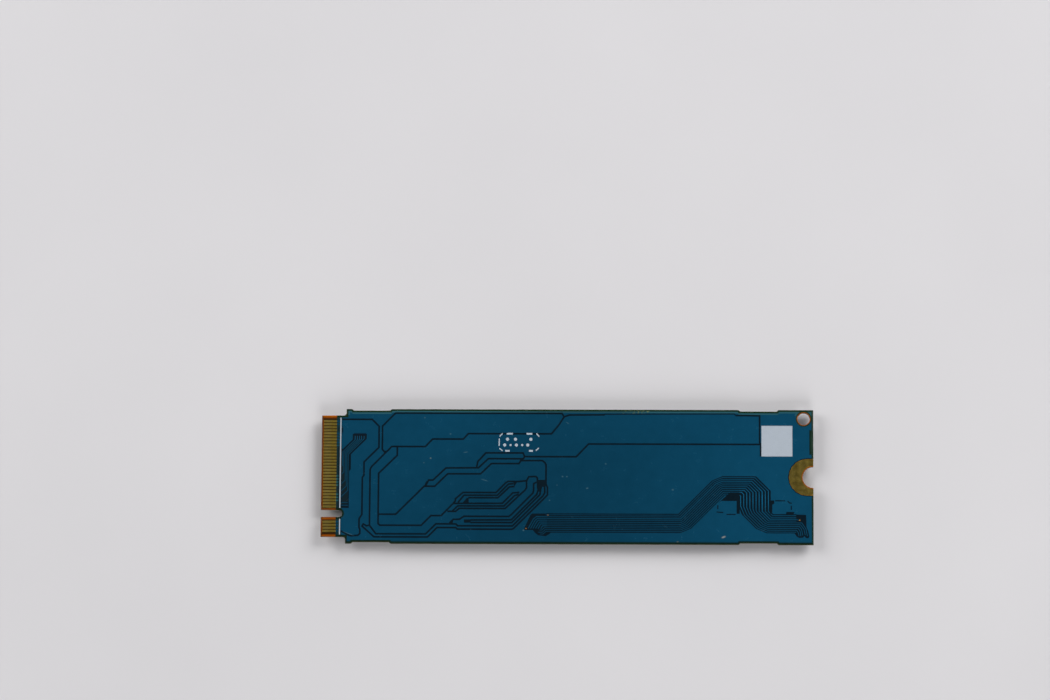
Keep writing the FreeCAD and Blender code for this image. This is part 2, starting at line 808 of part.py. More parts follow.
def edge_recess_of_pour():
    """Where the pour steps back from the screw end."""
    end = number(SCREW_END)
    low, high = [(row - MIDDLE_ROW) * size("routing_grid") for row in EDGE_RECESS_ROWS]
    return flat_rectangle(end - size("pour_setback") - size("edge_recess"), end, low, high)


def bare_side_copper_plan():
    """Pours, traces and stubs of the bare side."""
    gaps = [gap(route, size("gap_width")) for route in WIDE_GAPS]
    gaps += [gap(route, size("thin_gap")) for route in THIN_GAPS]
    gaps += [patch(route) for route in PATCHES]
    gaps.append(edge_recess_of_pour())
    traces = bundle_traces() + [gap(route, size("trace_width")) for route in SHORT_TRACES]
    traces += [gap(route, size("wide_trace")) for route in WIDE_SHORT_TRACES]
    areas = [bundle_area()] + [patch(route) for route in TRACE_AREAS]
    gaps += [area.cut(traces) for area in areas]
    return Part.makeCompound(pour_plan().cut(gaps).Faces + contact_stubs())


def make_feature(name, shape):
    feature = document.addObject("Part::Feature", name)
    feature.Shape = shape
    return feature


def make_bare_side():
    """Copper, mask, ground pad and print of the bare side."""
    laminate = number(LAMINATE_HIGH)
    copper_top = laminate + size("copper_thickness")
    film_top = copper_top + size("mask_base")
    mask_top = film_top + size("mask_raise")
    copper = bare_side_copper_plan()
    film = slab(mask_plan(), copper_top, film_top)
    raised = slab(copper, film_top, mask_top)
    mask = film.fuse(raised)
    pad_plan = ground_pad_plan().common(card_plan(0)).cut(screw_ring())
    return [
        make_feature("bare_side_copper", slab(copper, laminate, copper_top)),
        make_feature("bare_side_solder_mask", mask),
        make_feature(
            "bare_side_ground_pad",
            slab(pad_plan, laminate, laminate + size("finger_thickness")),
        ),
        make_contacts("bare_side_contacts", EVEN, LAMINATE_HIGH),
        make_feature("bare_side_print", bare_side_print(mask_top)),
    ]


def screw_ring():
    radius = size("screw_radius") + size("hole_clearance")
    return flat_round(number(SCREW_END), 0, radius, RING_SIDES)


# White print.


LONG_SIDE_DASHES = (
    ((603, 360), (623, 360)),
    ((668, 360), (687, 360)),
    ((599, 304), (613, 304)),
    ((676, 304), (689, 304)),
)
CORNER_DASHES = (
    ((579, 320), (579, 344)),
    ((580, 351), (590, 361)),
    ((700, 361), (709, 351)),
    ((580, 312), (590, 304)),
    ((699, 305), (708, 314)),
)
LARGE_DOTS = ((606, 342), (632, 342), (682, 342), (597, 323), (635, 323), (672, 323))
SMALL_DOTS = ((616, 323), (654, 323))


def white_line(parity):
    """Line behind the contacts of one side, left out at the key notch."""
    start = number(CONTACT_EDGE) + size("line_start")
    end = start + size("line_width")
    key_half = size("key_width") / 2 + size("line_margin")
    key_y = -size("key_offset")
    overrun = size("contact_width") / 2 + size("line_overrun")
    places = contact_places(parity)
    low, high = number(contact_y(places[0])), number(contact_y(places[-1]))
    return [
        flat_rectangle(start, end, low - overrun, key_y - key_half),
        flat_rectangle(start, end, key_y + key_half, high + overrun),
    ]


def bare_side_print(low):
    """White line, white square and the dashed outline with its dots."""
    fields = white_line(EVEN)
    side = size("square_side")
    right = number(SCREW_END) - size("square_from_end")
    bottom = size("square_offset")
    fields.append(flat_rectangle(right - side, right, bottom, bottom + side))
    fields += [gap(route, size("dash_width")) for route in LONG_SIDE_DASHES]
    fields += [gap(route, size("thin_dash")) for route in CORNER_DASHES]
    for dots, radius in ((LARGE_DOTS, size("dot_radius")), (SMALL_DOTS, size("small_dot_radius"))):
        for point in dots:
            centre = on_card(point)
            fields.append(flat_round(centre.x, centre.y, radius, DOT_SIDES))
    high = low + size("print_thickness")
    return Part.makeCompound([slab(field, low, high) for field in fields])


# Component side. Windows are the places where the mask is left out under parts, which
# stand on the copper there.


windows = []


def window(x, y, length, width, margin):
    """Remember an opening; a negative margin makes it smaller than its part."""
    centre_x, centre_y = number(x), number(y)
    half_x = number(length) / 2 + margin
    half_y = number(width) / 2 + margin
    windows.append(
        flat_rectangle(centre_x - half_x, centre_x + half_x, centre_y - half_y, centre_y + half_y)
    )


def make_package(name, prefix, x):
    """Sawn moulded package on the middle line, over its opening in the mask."""
    length, width = f"sizes.{prefix}_length", f"sizes.{prefix}_width"
    height = f"sizes.{prefix}_height"
    body = new_body(name)
    outline = base_sketch(body, f"{name}_outline")
    sketch_rectangle(outline, MIDDLE, MIDDLE, length, width)
    pad(body, outline, f"{name}_mould", f"{height} - sizes.ball_standoff")
    place(body, x, MIDDLE, f"{SEAT} - {height}")
    window(x, MIDDLE, length, width, -size("window_margin"))
    return body


def make_balls(name, prefix, x, columns, rows):
    """Solder balls, flattened to short pillars, in columns beside a free middle lane."""
    low = number(f"{SEAT} - sizes.ball_standoff")
    high = number(SEAT)
    radius = size("ball_radius")
    pitch = size(f"{prefix}_ball_pitch")
    middle = number(x)
    balls = []
    for column in columns:
        for row in range(rows):
            centre = Vector(middle + column * pitch, (row - (rows - 1) / 2) * pitch, low)
            corners = [centre + Vector(radius, 0, 0), centre + Vector(0, radius, 0),
                       centre - Vector(radius, 0, 0), centre - Vector(0, radius, 0)]
            balls.append(flat_face(corners).extrude(Vector(0, 0, high - low)))
    return make_feature(name, Part.makeCompound(balls))


def make_chip(name, x, y, length, width, height):
    """Flat chip soldered by the land under it."""
    chip = document.addObject("Part::Box", name)
    bind(chip, Length=length, Width=width, Height=height)
    place(chip, f"{x} - {length} / 2", f"{y} - {width} / 2", f"{SEAT} - {height}")
    window(x, y, length, width, size("land_margin"))
    return chip


def make_inductor(name, x, y):
    """Pressed power inductor with bevelled upright edges."""
    body = new_body(name)
    outline = base_sketch(body, f"{name}_outline")
    half_x, half_y = "sizes.inductor_length / 2", "sizes.inductor_width / 2"
    bevel = "sizes.inductor_bevel"
    corners = [(half_x, f"{half_y} - {bevel}"), (f"{half_x} - {bevel}", half_y),
               (f"-{half_x} + {bevel}", half_y), (f"-{half_x}", f"{half_y} - {bevel}")]
    mirrored = [(along, f"-({across})") for along, across in reversed(corners)]
    sketch_polygon(outline, corners + mirrored)
    pad(body, outline, f"{name}_block", "sizes.inductor_height")
    place(body, x, y, f"{SEAT} - sizes.inductor_height")
    window(x, y, "sizes.inductor_length", "sizes.inductor_width", size("land_margin"))
    return body


def passive_parts(name, prefix, places):
    """Bodies and end caps of two-ended parts. A place is x, y and whether it lies across."""
    bodies = []
    caps = []
    for index, (x, y, across) in enumerate(places, start=1):
        length, width = f"sizes.{prefix}_length", f"sizes.{prefix}_width"
        height = f"sizes.{prefix}_height"
        cap = f"({length} * sizes.cap_share)"
        middle = document.addObject("Part::Box", f"{name}_{index}_body")
        middle_length = f"({length} - 2 * {cap})"
        middle_width = f"({width} - 2 * sizes.body_inset)"
        middle_height = f"({height} - 2 * sizes.body_inset)"
        along_x, along_y = (middle_width, middle_length) if across else (middle_length, middle_width)
        bind(middle, Length=along_x, Width=along_y, Height=middle_height)
        place(
            middle, f"{x} - {along_x} / 2", f"{y} - {along_y} / 2",
            f"{SEAT} - {height} + sizes.body_inset",
        )
        bodies.append(middle)
        for side, side_name in ((-1, "low"), (1, "high")):
            end = document.addObject("Part::Box", f"{name}_{index}_{side_name}")
            along_x, along_y = (width, cap) if across else (cap, width)
            bind(end, Length=along_x, Width=along_y, Height=height)
            shift = f"{side} * ({length} - {cap}) / 2"
            centre_x = x if across else f"({x} + {shift})"
            centre_y = f"({y} + {shift})" if across else y
            place(
                end, f"{centre_x} - {along_x} / 2", f"{centre_y} - {along_y} / 2",
                f"{SEAT} - {height}",
            )
            caps.append(end)
        extent_x, extent_y = (width, length) if across else (length, width)
        window(x, y, extent_x, extent_y, size("land_margin"))
    return [group(f"{name}_bodies", bodies), group(f"{name}_end_caps", caps)]


def rows_beside(x, prefix, part, count):
    """Places of small parts in two rows above and below a package."""
    places = []
    distance = f"(sizes.{prefix}_width / 2 + sizes.row_gap + sizes.{part}_width / 2)"
    for side in (-1, 1):
        for index in range(count):
            step = f"{index - (count - 1) / 2} * sizes.row_pitch"
            places.append((f"({x} + {step})", f"({side} * {distance})", False))
    return places


def column_between(left, right, count):
    """Places of small parts in a column halfway between two packages."""
    middle = f"(({left} + {right}) / 2)"
    steps = [f"({index - (count - 1) / 2} * sizes.column_pitch)" for index in range(count)]
    return [(middle, step, True) for step in steps]


def in_power_zone(along, across):
    """Place in the power section, from its start and from the middle line."""
    return f"({POWER_START} + {along} * sizes.parts_grid)", f"({across} * sizes.parts_grid)"


def make_small_chips():
    """Power section and the small chips round it."""
    spots = {
        "power_management_chip": (4.9, 6.1, "power_chip_side", "power_chip_side"),
        "load_switch": (1.7, -8.0, "switch_side", "switch_side"),
        "temperature_sensor": (4.6, -2.6, "sensor_side", "sensor_side"),
        "boot_flash_chip": (8.1, -7.6, "boot_length", "boot_width"),
    }
    chips = []
    for name, (along, across, length, width) in spots.items():
        x, y = in_power_zone(along, across)
        chips.append(
            make_chip(name, x, y, f"sizes.{length}", f"sizes.{width}", "sizes.small_chip_height")
        )
    x, y = in_power_zone(8.3, -3.2)
    chips.append(
        make_chip("crystal", x, y, "sizes.crystal_length", "sizes.crystal_width",
                  "sizes.crystal_height")
    )
    for index, (along, across) in enumerate(((1.3, 8.3), (1.3, 4.2), (8.6, 6.9)), start=1):
        chips.append(make_inductor(f"inductor_{index}", *in_power_zone(along, across)))
    return chips


def make_passives():
    """Capacitors, resistors and the fuse."""
    large = [in_power_zone(along, across) + (False,) for along, across in
             ((1.2, 0.6), (8.6, 3.6), (8.6, 1.0), (4.6, -8.3))]
    resistors = [in_power_zone(along, across) + (True,) for along, across in
                 ((3.9, 1.4), (5.2, 1.4), (6.2, -5.4), (4.9, -5.4), (2.2, -5.0), (1.0, -5.0))]
    small = rows_beside(CONTROLLER_X, "controller", "small", 5)
    small += rows_beside(DRAM_X, "dram", "small", 2)
    small += column_between(f"({DRAM_X} + sizes.dram_length / 2)",
                            f"({FLASH_1_X} - sizes.flash_length / 2)", 5)
    small += column_between(f"({FLASH_1_X} + sizes.flash_length / 2)",
                            f"({FLASH_2_X} - sizes.flash_length / 2)", 5)
    fuse = [in_power_zone(1.5, -1.8) + (False,)]
    return (
        passive_parts("large_capacitor", "large", large)
        + passive_parts("small_capacitor", "small", small)
        + passive_parts("resistor", "resistor", resistors)
        + passive_parts("fuse", "fuse", fuse)
    )


def make_component_side_layers():
    """Copper, mask, ground pad, contacts and print of the component side."""
    laminate = number(LAMINATE_LOW)
    copper_low = laminate - size("copper_thickness")
    mask_low = copper_low - size("mask_base") - size("mask_raise")
    copper = pour_plan()
    mask = mask_plan().cut(windows)
    pad_plan = ground_pad_plan().common(card_plan(0)).cut(screw_ring())
    finger_low = f"{LAMINATE_LOW} - sizes.finger_thickness"
    return [
        make_feature("component_side_copper", slab(copper, copper_low, laminate)),
        make_feature("component_side_solder_mask", slab(mask, mask_low, copper_low)),
        make_feature(
            "component_side_ground_pad",
            slab(pad_plan, laminate - size("finger_thickness"), laminate),
        ),
        make_contacts("component_side_contacts", ODD, finger_low),
        make_feature("component_side_print", component_side_print(mask_low)),
    ]


def component_side_print(high):
    """White line by the contacts and corner ticks at the packages."""
    width = size("dash_width")
    fields = white_line(ODD)
    for prefix, x in (("controller", CONTROLLER_X), ("dram", DRAM_X),
                      ("flash", FLASH_1_X), ("flash", FLASH_2_X)):
        corner_x = number(f"{x} - sizes.{prefix}_length / 2") - width
        corner_y = size(f"{prefix}_width") / 2 + width
        fields.append(
            flat_face([Vector(corner_x, corner_y, 0), Vector(corner_x, corner_y - 2 * width, 0),
                       Vector(corner_x + 2 * width, corner_y, 0)])
        )
    low = high - size("print_thickness")
    return Part.makeCompound([slab(field, low, high) for field in fields])


def write_parts(parts):
    """Check every object, then write one file for each sub-part."""
    document.recompute()
    for item in document.Objects:
        if {"Invalid", "Error"} & set(item.State):
            raise RuntimeError(f"{item.Name} failed: {item.State}")
    os.makedirs("parts", exist_ok=True)
    for part in parts:
        if part.Shape.isNull() or not part.Shape.isValid():
            raise RuntimeError(f"{part.Label} has no valid shape")
    for part in parts:
        part.Shape.exportStep(f"parts/{part.Label}.step")
        print(part.Label, len(part.Shape.Solids), round(part.Shape.Volume, 4))


def main():
    parts = [make_board()]
    parts += make_bare_side()
    for name, prefix, x in (("controller", "controller", CONTROLLER_X),
                            ("memory", "dram", DRAM_X),
                            ("flash_1", "flash", FLASH_1_X),
                            ("flash_2", "flash", FLASH_2_X)):
        parts.append(make_package(name, prefix, x))
    for name, prefix, x, columns, rows in (
        ("controller_balls", "controller", CONTROLLER_X, (-2, -1, 1, 2), 5),
        ("memory_balls", "dram", DRAM_X, (-1, 1), 8),
        ("flash_1_balls", "flash", FLASH_1_X, (-2, -1, 1, 2), 6),
        ("flash_2_balls", "flash", FLASH_2_X, (-2, -1, 1, 2), 6),
    ):
        parts.append(make_balls(name, prefix, x, columns, rows))
    parts += make_small_chips()
    parts += make_passives()
    parts += make_component_side_layers()
    write_parts(parts)


main()
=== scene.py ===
"""Looks of a solid-state drive that lies with its bare side up.

The CAD objects come from model.glb, and they only get their materials here. The solder
fillets, the chip terminals and the plate on the crystal's lid are built in mesh code.

Materials read a point's place on the card in millimetres, from the middle of the card: X
runs from the contacts to the screw notch, Y to the upper long edge, and Z up from the
floor. The sizes below are in these millimetres, and all colours are linear.
"""
import math

import bmesh
import bpy
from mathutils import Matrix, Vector


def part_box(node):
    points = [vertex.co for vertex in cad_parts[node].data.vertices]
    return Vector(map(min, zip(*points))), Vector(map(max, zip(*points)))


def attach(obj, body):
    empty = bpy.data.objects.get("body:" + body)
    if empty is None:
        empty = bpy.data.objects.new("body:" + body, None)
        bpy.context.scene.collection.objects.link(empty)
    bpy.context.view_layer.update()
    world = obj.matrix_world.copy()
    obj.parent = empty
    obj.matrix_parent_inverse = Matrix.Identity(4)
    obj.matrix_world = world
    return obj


MM = 0.001
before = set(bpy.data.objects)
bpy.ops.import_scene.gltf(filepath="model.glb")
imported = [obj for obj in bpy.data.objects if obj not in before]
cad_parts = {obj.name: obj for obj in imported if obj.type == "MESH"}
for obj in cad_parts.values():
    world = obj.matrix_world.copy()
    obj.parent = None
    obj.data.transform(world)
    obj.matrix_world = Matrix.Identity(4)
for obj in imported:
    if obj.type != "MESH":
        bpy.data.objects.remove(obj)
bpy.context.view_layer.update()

# Outline, openings and levels of the card.
HALF_LENGTH = 40.0
HALF_WIDTH = 11.0
TONGUE_HALF = 9.925
TONGUE_END = -36.0
RECESSES = ((-35.1, -28.6), (27.85, 34.35))
RECESS_DEPTH = 0.25
KEY_Y = -6.125
KEY_HALF = 0.6
KEY_END = -36.5
TOOLING = (38.45, 9.55)
TOOLING_RADIUS = 1.0
SCREW_NOTCH = (HALF_LENGTH, 0.0)
PAD_CENTRE = (HALF_LENGTH - 1.0, 0.0)
POUR_SETBACK = 0.3
FILM_TOP = 2.010
MASK_TOP = 2.022
LEVEL_MARGIN = 0.003
FINGERS_X = (-39.7, -37.55)
UPPER_FINGERS = (-5.175, 9.175)
LOWER_FINGERS = (-9.175, -7.325)

# Zones of the bare side where the photograph shows another tone. A pair of pairs is a
# rectangle, with its range along X and its range along Y.
UPPER_RIM_Y = (10.0, 10.1)
LOWER_RIM_Y = (-10.8, -10.6)
RIM_WIDTH = 0.25
GREEN_WIDTH = 0.03
SHADOW_CENTRE = (-1.0, -8.0)
SHADOW_REACH = (32.0, 22.0)
ETCHED_STRIP_END = -36.7
LEADS_Y = (-5.4, 5.0)
LEAD_ROOTS = (-37.40, -37.15)
COMB_DIAGONAL = (-40.6, -39.1)
COMB_DIAGONAL_Y = (3.4, 6.0)
COMB_TEETH = ((-34.8, -32.8), (6.0, 6.9))
COMB_BODY = ((-36.65, -35.6), (-4.6, 4.2))
BRIGHT_TEETH = ((-34.75, -32.9), (5.9, 6.8))
COMB_TOP = ((-34.75, -32.75), (6.72, 7.04))
UPRIGHT_TRACES_X = (28.0, 32.9)
UPRIGHT_TRACES_Y = (-4.9, -2.3)
SCREW_END_X = (HALF_LENGTH - 0.42, HALF_LENGTH - 0.22)
BY_SQUARE = ((HALF_LENGTH - 0.60, HALF_LENGTH), (3.7, 7.7))
CRUMBS = ((9.0, 13.4), (10.45, 11.0))

# Colours of the solder mask. A pair goes from the darker to the lighter tone.
OVER_COPPER = (0.0021, 0.0490, 0.0990)
UPPER_RIM = (0.0190, 0.0800, 0.1030)
LOWER_RIM = (0.0060, 0.0230, 0.0250)
GAP = ((0.0017, 0.0070, 0.0130), (0.0028, 0.0115, 0.0195))
GAP_BY_CONTACTS = (0.0062, 0.0310, 0.0400)
GAP_BETWEEN_LEADS = ((0.0025, 0.0110, 0.0185), (0.0080, 0.0270, 0.0320))
GAP_IN_COMB = (0.0062, 0.0172, 0.0225)
GAP_IN_TEETH = (0.0045, 0.0080, 0.0110)
LEADS = ((0.0040, 0.0280, 0.0420), (0.0210, 0.1250, 0.1400))
LONG_EDGES = ((0.0042, 0.0160, 0.0095), (0.0085, 0.0285, 0.0125))
SCREW_END = ((0.0105, 0.0285, 0.0190), (0.0190, 0.0400, 0.0280))
HOLE_RING = (0.0050, 0.0750, 0.1300)
HOLE = (0.0020, 0.0160, 0.0300)

# Marks on the bare side, as the photograph shows them: place counted from the contact edge
# and the lower long edge, length, width, turn in degrees, and colour.
TAN = (0.24, 0.165, 0.09)
RUST = (0.30, 0.13, 0.03)
PALE = (0.045, 0.115, 0.155)
DARK = (0.003, 0.009, 0.018)
CRUMB = (0.115, 0.150, 0.060)
MARKS = (
    ((65.45, 1.2), 0.75, 0.32, 20, (0.27, 0.27, 0.25)),
    ((58.0, 0.42), 0.4, 0.18, 10, (0.11, 0.13, 0.11)),
    ((33.4, 2.5), 0.24, 0.19, 0, RUST),
    ((77.75, 4.0), 0.28, 0.17, 0, (0.42, 0.23, 0.04)),
    ((36.95, 4.7), 0.34, 0.15, 0, TAN),
    ((17.8, 13.95), 0.3, 0.3, 0, (0.08, 0.14, 0.15)),
    ((21.0, 17.95), 0.3, 0.25, 0, PALE),
    ((23.5, 14.95), 0.8, 0.16, 8, PALE),
    ((26.6, 10.38), 1.25, 0.14, -17, PALE),
    ((16.8, 20.6), 0.3, 0.2, 0, PALE),
    ((16.7, 13.2), 0.25, 0.2, 30, PALE),
    ((39.3, 11.0), 0.3, 0.26, 0, PALE),
    ((40.0, 11.0), 0.3, 0.24, 0, PALE),
    ((43.3, 9.1), 0.45, 0.25, 15, PALE),
    ((38.4, 9.6), 0.2, 0.2, 0, PALE),
    ((37.2, 7.1), 0.25, 0.2, 0, PALE),
    ((40.05, 19.8), 0.7, 0.12, -35, PALE),
    ((57.2, 8.9), 0.4, 0.3, 0, PALE),
    ((46.3, 13.1), 0.3, 0.24, 0, PALE),
    ((33.0, 2.2), 0.35, 0.3, 0, PALE),
    ((4.5, 1.6), 2.0, 0.13, -20, PALE),
    ((3.38, 18.5), 1.3, 0.26, 90, DARK),
    ((2.77, 18.75), 0.9, 0.26, 90, DARK),
)

# The component side's trace bundles, each a range along X and half its width, the part of
# the pitch that is gap, and the plated holes: their spacing and the soft ends of two radii.
BUSES = (((-8.05, -4.8), 5.2), ((2.8, 6.05), 4.6), ((18.2, 21.4), 4.6))
BUS_PITCH = 0.32
BUS_GAP = (0.10, 0.48)
HOLE_SPACING = 1.5
HOLE_MARGIN = 0.4
RING_RADIUS = (0.22, 0.18)
HOLE_RADIUS = (0.11, 0.08)

# Laminate: bare by the contacts, with painted shade between them and a painted shadow
# beside them, and stained by the mask elsewhere. Bare rings are left round the tooling
# hole and the screw notch, and are painted lighter.
BARE_LAMINATE = ((0.185, 0.042, 0.0004), (0.280, 0.066, 0.0010))
SHADE_BETWEEN_CONTACTS = (0.046, 0.024, 0.004)
SHADE_BETWEEN_X = (-39.65, -37.2)
SHADOW_BESIDE_CONTACTS = (0.030, 0.015, 0.003)
SHADOW_BESIDE_X = (-39.75, -37.3)
SHADOW_BESIDE_Y = ((9.10, 9.44), (-9.52, -9.12), (-7.38, -7.14), (-5.34, -5.10))
BEVEL_X = (-39.80, -39.68)
BORDER_FROM = 9.44
BORDER = (9.46, 9.80)
LOWER_BORDER_Y = (-9.9, -9.2)
TOOLING_RING = (1.25, 1.20)
SCREW_RING = (2.1, 2.0)
STAINED_LAMINATE = (0.026, 0.036, 0.012)
LAMINATE_SIDE = ((0.022, 0.026, 0.010), (0.080, 0.072, 0.026))
CLOTH_LAYER = 0.105

# Gold: worn across the middle of the contacts, and rubbed brighter at the pads' rims.
CONTACT_GOLD = ((0.52, 0.365, 0.056), (0.75, 0.58, 0.122))
WORN_GOLD = (0.80, 0.67, 0.24)
WORN_X = (-39.5, -38.6)
PAD_GOLD = ((0.405, 0.300, 0.056), (0.480, 0.362, 0.084))
SPECKS = (0.70, 0.60, 0.27)
PAD_RIMS = (0.74, 0.38, 0.06)
PAD_OUTER_RIM = (2.84, 2.97)
PAD_INNER_RIM = (2.06, 1.93)

# White print: the square's limits, the bright core of the line behind the contacts, and the
# places from which the ink belongs to one or the other.
INK = ((0.385, 0.440, 0.505), (0.425, 0.480, 0.550))
INK_PORES = (0.30, 0.36, 0.43)
SQUARE = ((31.61, 36.59), (3.41, 8.39))
SQUARE_RIM = (0.030, 0.065, 0.095)
SQUARE_FROM = 30.05
LINE_CORE = (-36.99, -36.82)
LINE_RIM = (0.010, 0.032, 0.048)
LINE_TO = -36.65

# Other finishes, with the levels at which a part's material changes. A pin mark's inset is
# a share of the chip's length, and its radius a share of the inset.
COPPER = ((0.55, 0.25, 0.12), (0.72, 0.36, 0.20))
LAND_FILM = ((0.0016, 0.0300, 0.0600), (0.0024, 0.0420, 0.0850))
SOLDER = ((0.50, 0.51, 0.52), (0.70, 0.70, 0.69))
MOULDING = ((0.0135, 0.0135, 0.0145), (0.0200, 0.0200, 0.0210))
PIN_MARK = (0.11, 0.11, 0.11)
PIN_INSET = 0.16
PIN_INSET_MOST = 0.9
PIN_RADIUS = 0.35
PIN_SOFT_RIM = 0.06
SUBSTRATE = ((0.012, 0.030, 0.018), (0.020, 0.050, 0.028))
SUBSTRATE_LEVEL = 0.725
CERAMIC = ((0.19, 0.115, 0.055), (0.30, 0.195, 0.105))
RESISTOR_FILM = ((0.010, 0.010, 0.012), (0.022, 0.022, 0.025))
RESISTOR_BODY = ((0.60, 0.60, 0.57), (0.72, 0.72, 0.69))
RESISTOR_LEVEL = 0.915
FERRITE = ((0.030, 0.031, 0.034), (0.072, 0.073, 0.078))
CRYSTAL_LID = ((0.45, 0.45, 0.44), (0.62, 0.61, 0.58))
CRYSTAL_BAND = (0.030, 0.028, 0.026)
CRYSTAL_LEVEL = 0.80
FUSE_GLASS = ((0.36, 0.37, 0.33), (0.52, 0.53, 0.48))
FLOOR = ((0.66, 0.655, 0.68), (0.72, 0.715, 0.74))

# Solder. The parts stand on the copper at the level SEAT and point down. A fillet reaches
# away from a part and sinks a little into it. Its concave side is given as shares of its
# reach and rise, and the faces along it are smooth. Terminals: the node, the sides, how
# many on each, pitch, width and rise.
SEAT = 1.2
SINK = 0.01
FILLET_REACH = 0.11
FILLET_CURVE = ((0.52, 0.20), (0.22, 0.52), (0.06, 0.90))
SMOOTH_FACES = range(2, 5)
FILLET_NARROWING = 0.22
CAP_MARGIN = 0.04
CAP_RISE = 0.62
ENDS = ((1, 0), (-1, 0))
FLANKS = ((0, 1), (0, -1))
TERMINALS = (
    ("power_management_chip", ENDS + FLANKS, 7, 0.5, 0.27, 0.20),
    ("load_switch", ENDS, 3, 0.6, 0.30, 0.20),
    ("temperature_sensor", ENDS, 3, 0.5, 0.26, 0.20),
    ("boot_flash_chip", ENDS, 4, 0.48, 0.26, 0.20),
    ("crystal", ENDS, 2, 1.15, 0.55, 0.16),
    ("inductor_1", ENDS, 1, 1.0, 1.25, 0.42),
    ("inductor_2", ENDS, 1, 1.0, 1.25, 0.42),
    ("inductor_3", ENDS, 1, 1.0, 1.25, 0.42),
)

# Plate on the crystal's lid: inset and level of its three rings, counted from the lid.
PLATE_RINGS = ((0.16, SINK), (0.16, -0.02), (0.20, -0.035))
PLATE_ROUNDING = 0.25
PLATE_CORNER_STEPS = 4

# Studio, in metres. Every lamp points at the card's middle.
FLOOR_HALF = 3.0
SKY_COLOUR = (0.96, 0.97, 1.0, 1.0)
SKY_FADE = {"From Min": 0.12, "From Max": 0.55, "To Min": 0.74, "To Max": 0.065}
LAMP_COLOUR = (1.0, 0.985, 0.97)
LAMPS = (
    ("key_light", (0.42, 0.40, 0.42), 0.42, 3.45),
    ("fill_light", (-0.52, 0.25, 0.40), 0.45, 2.65),
    ("front_light", (0.15, -0.60, 0.40), 0.45, 2.4),
)
SENSOR_WIDTH = 36.0
LENS = 144.0
CLIP = (0.01, 20.0)
CAMERA_PLACE = (0.01400, -0.08539, 0.67948)
CAMERA_TURN = (0.15563, 0.02985, 0.00684)

# Sockets of the Mix node that carry colours, the range that most noise stays in, and the
# depth of every bump, in metres.
MIX_COLOURS = (6, 7)
MIX_RESULT = 2
NOISE_RANGE = (0.3, 0.7)
BUMP_DEPTH = 0.00002


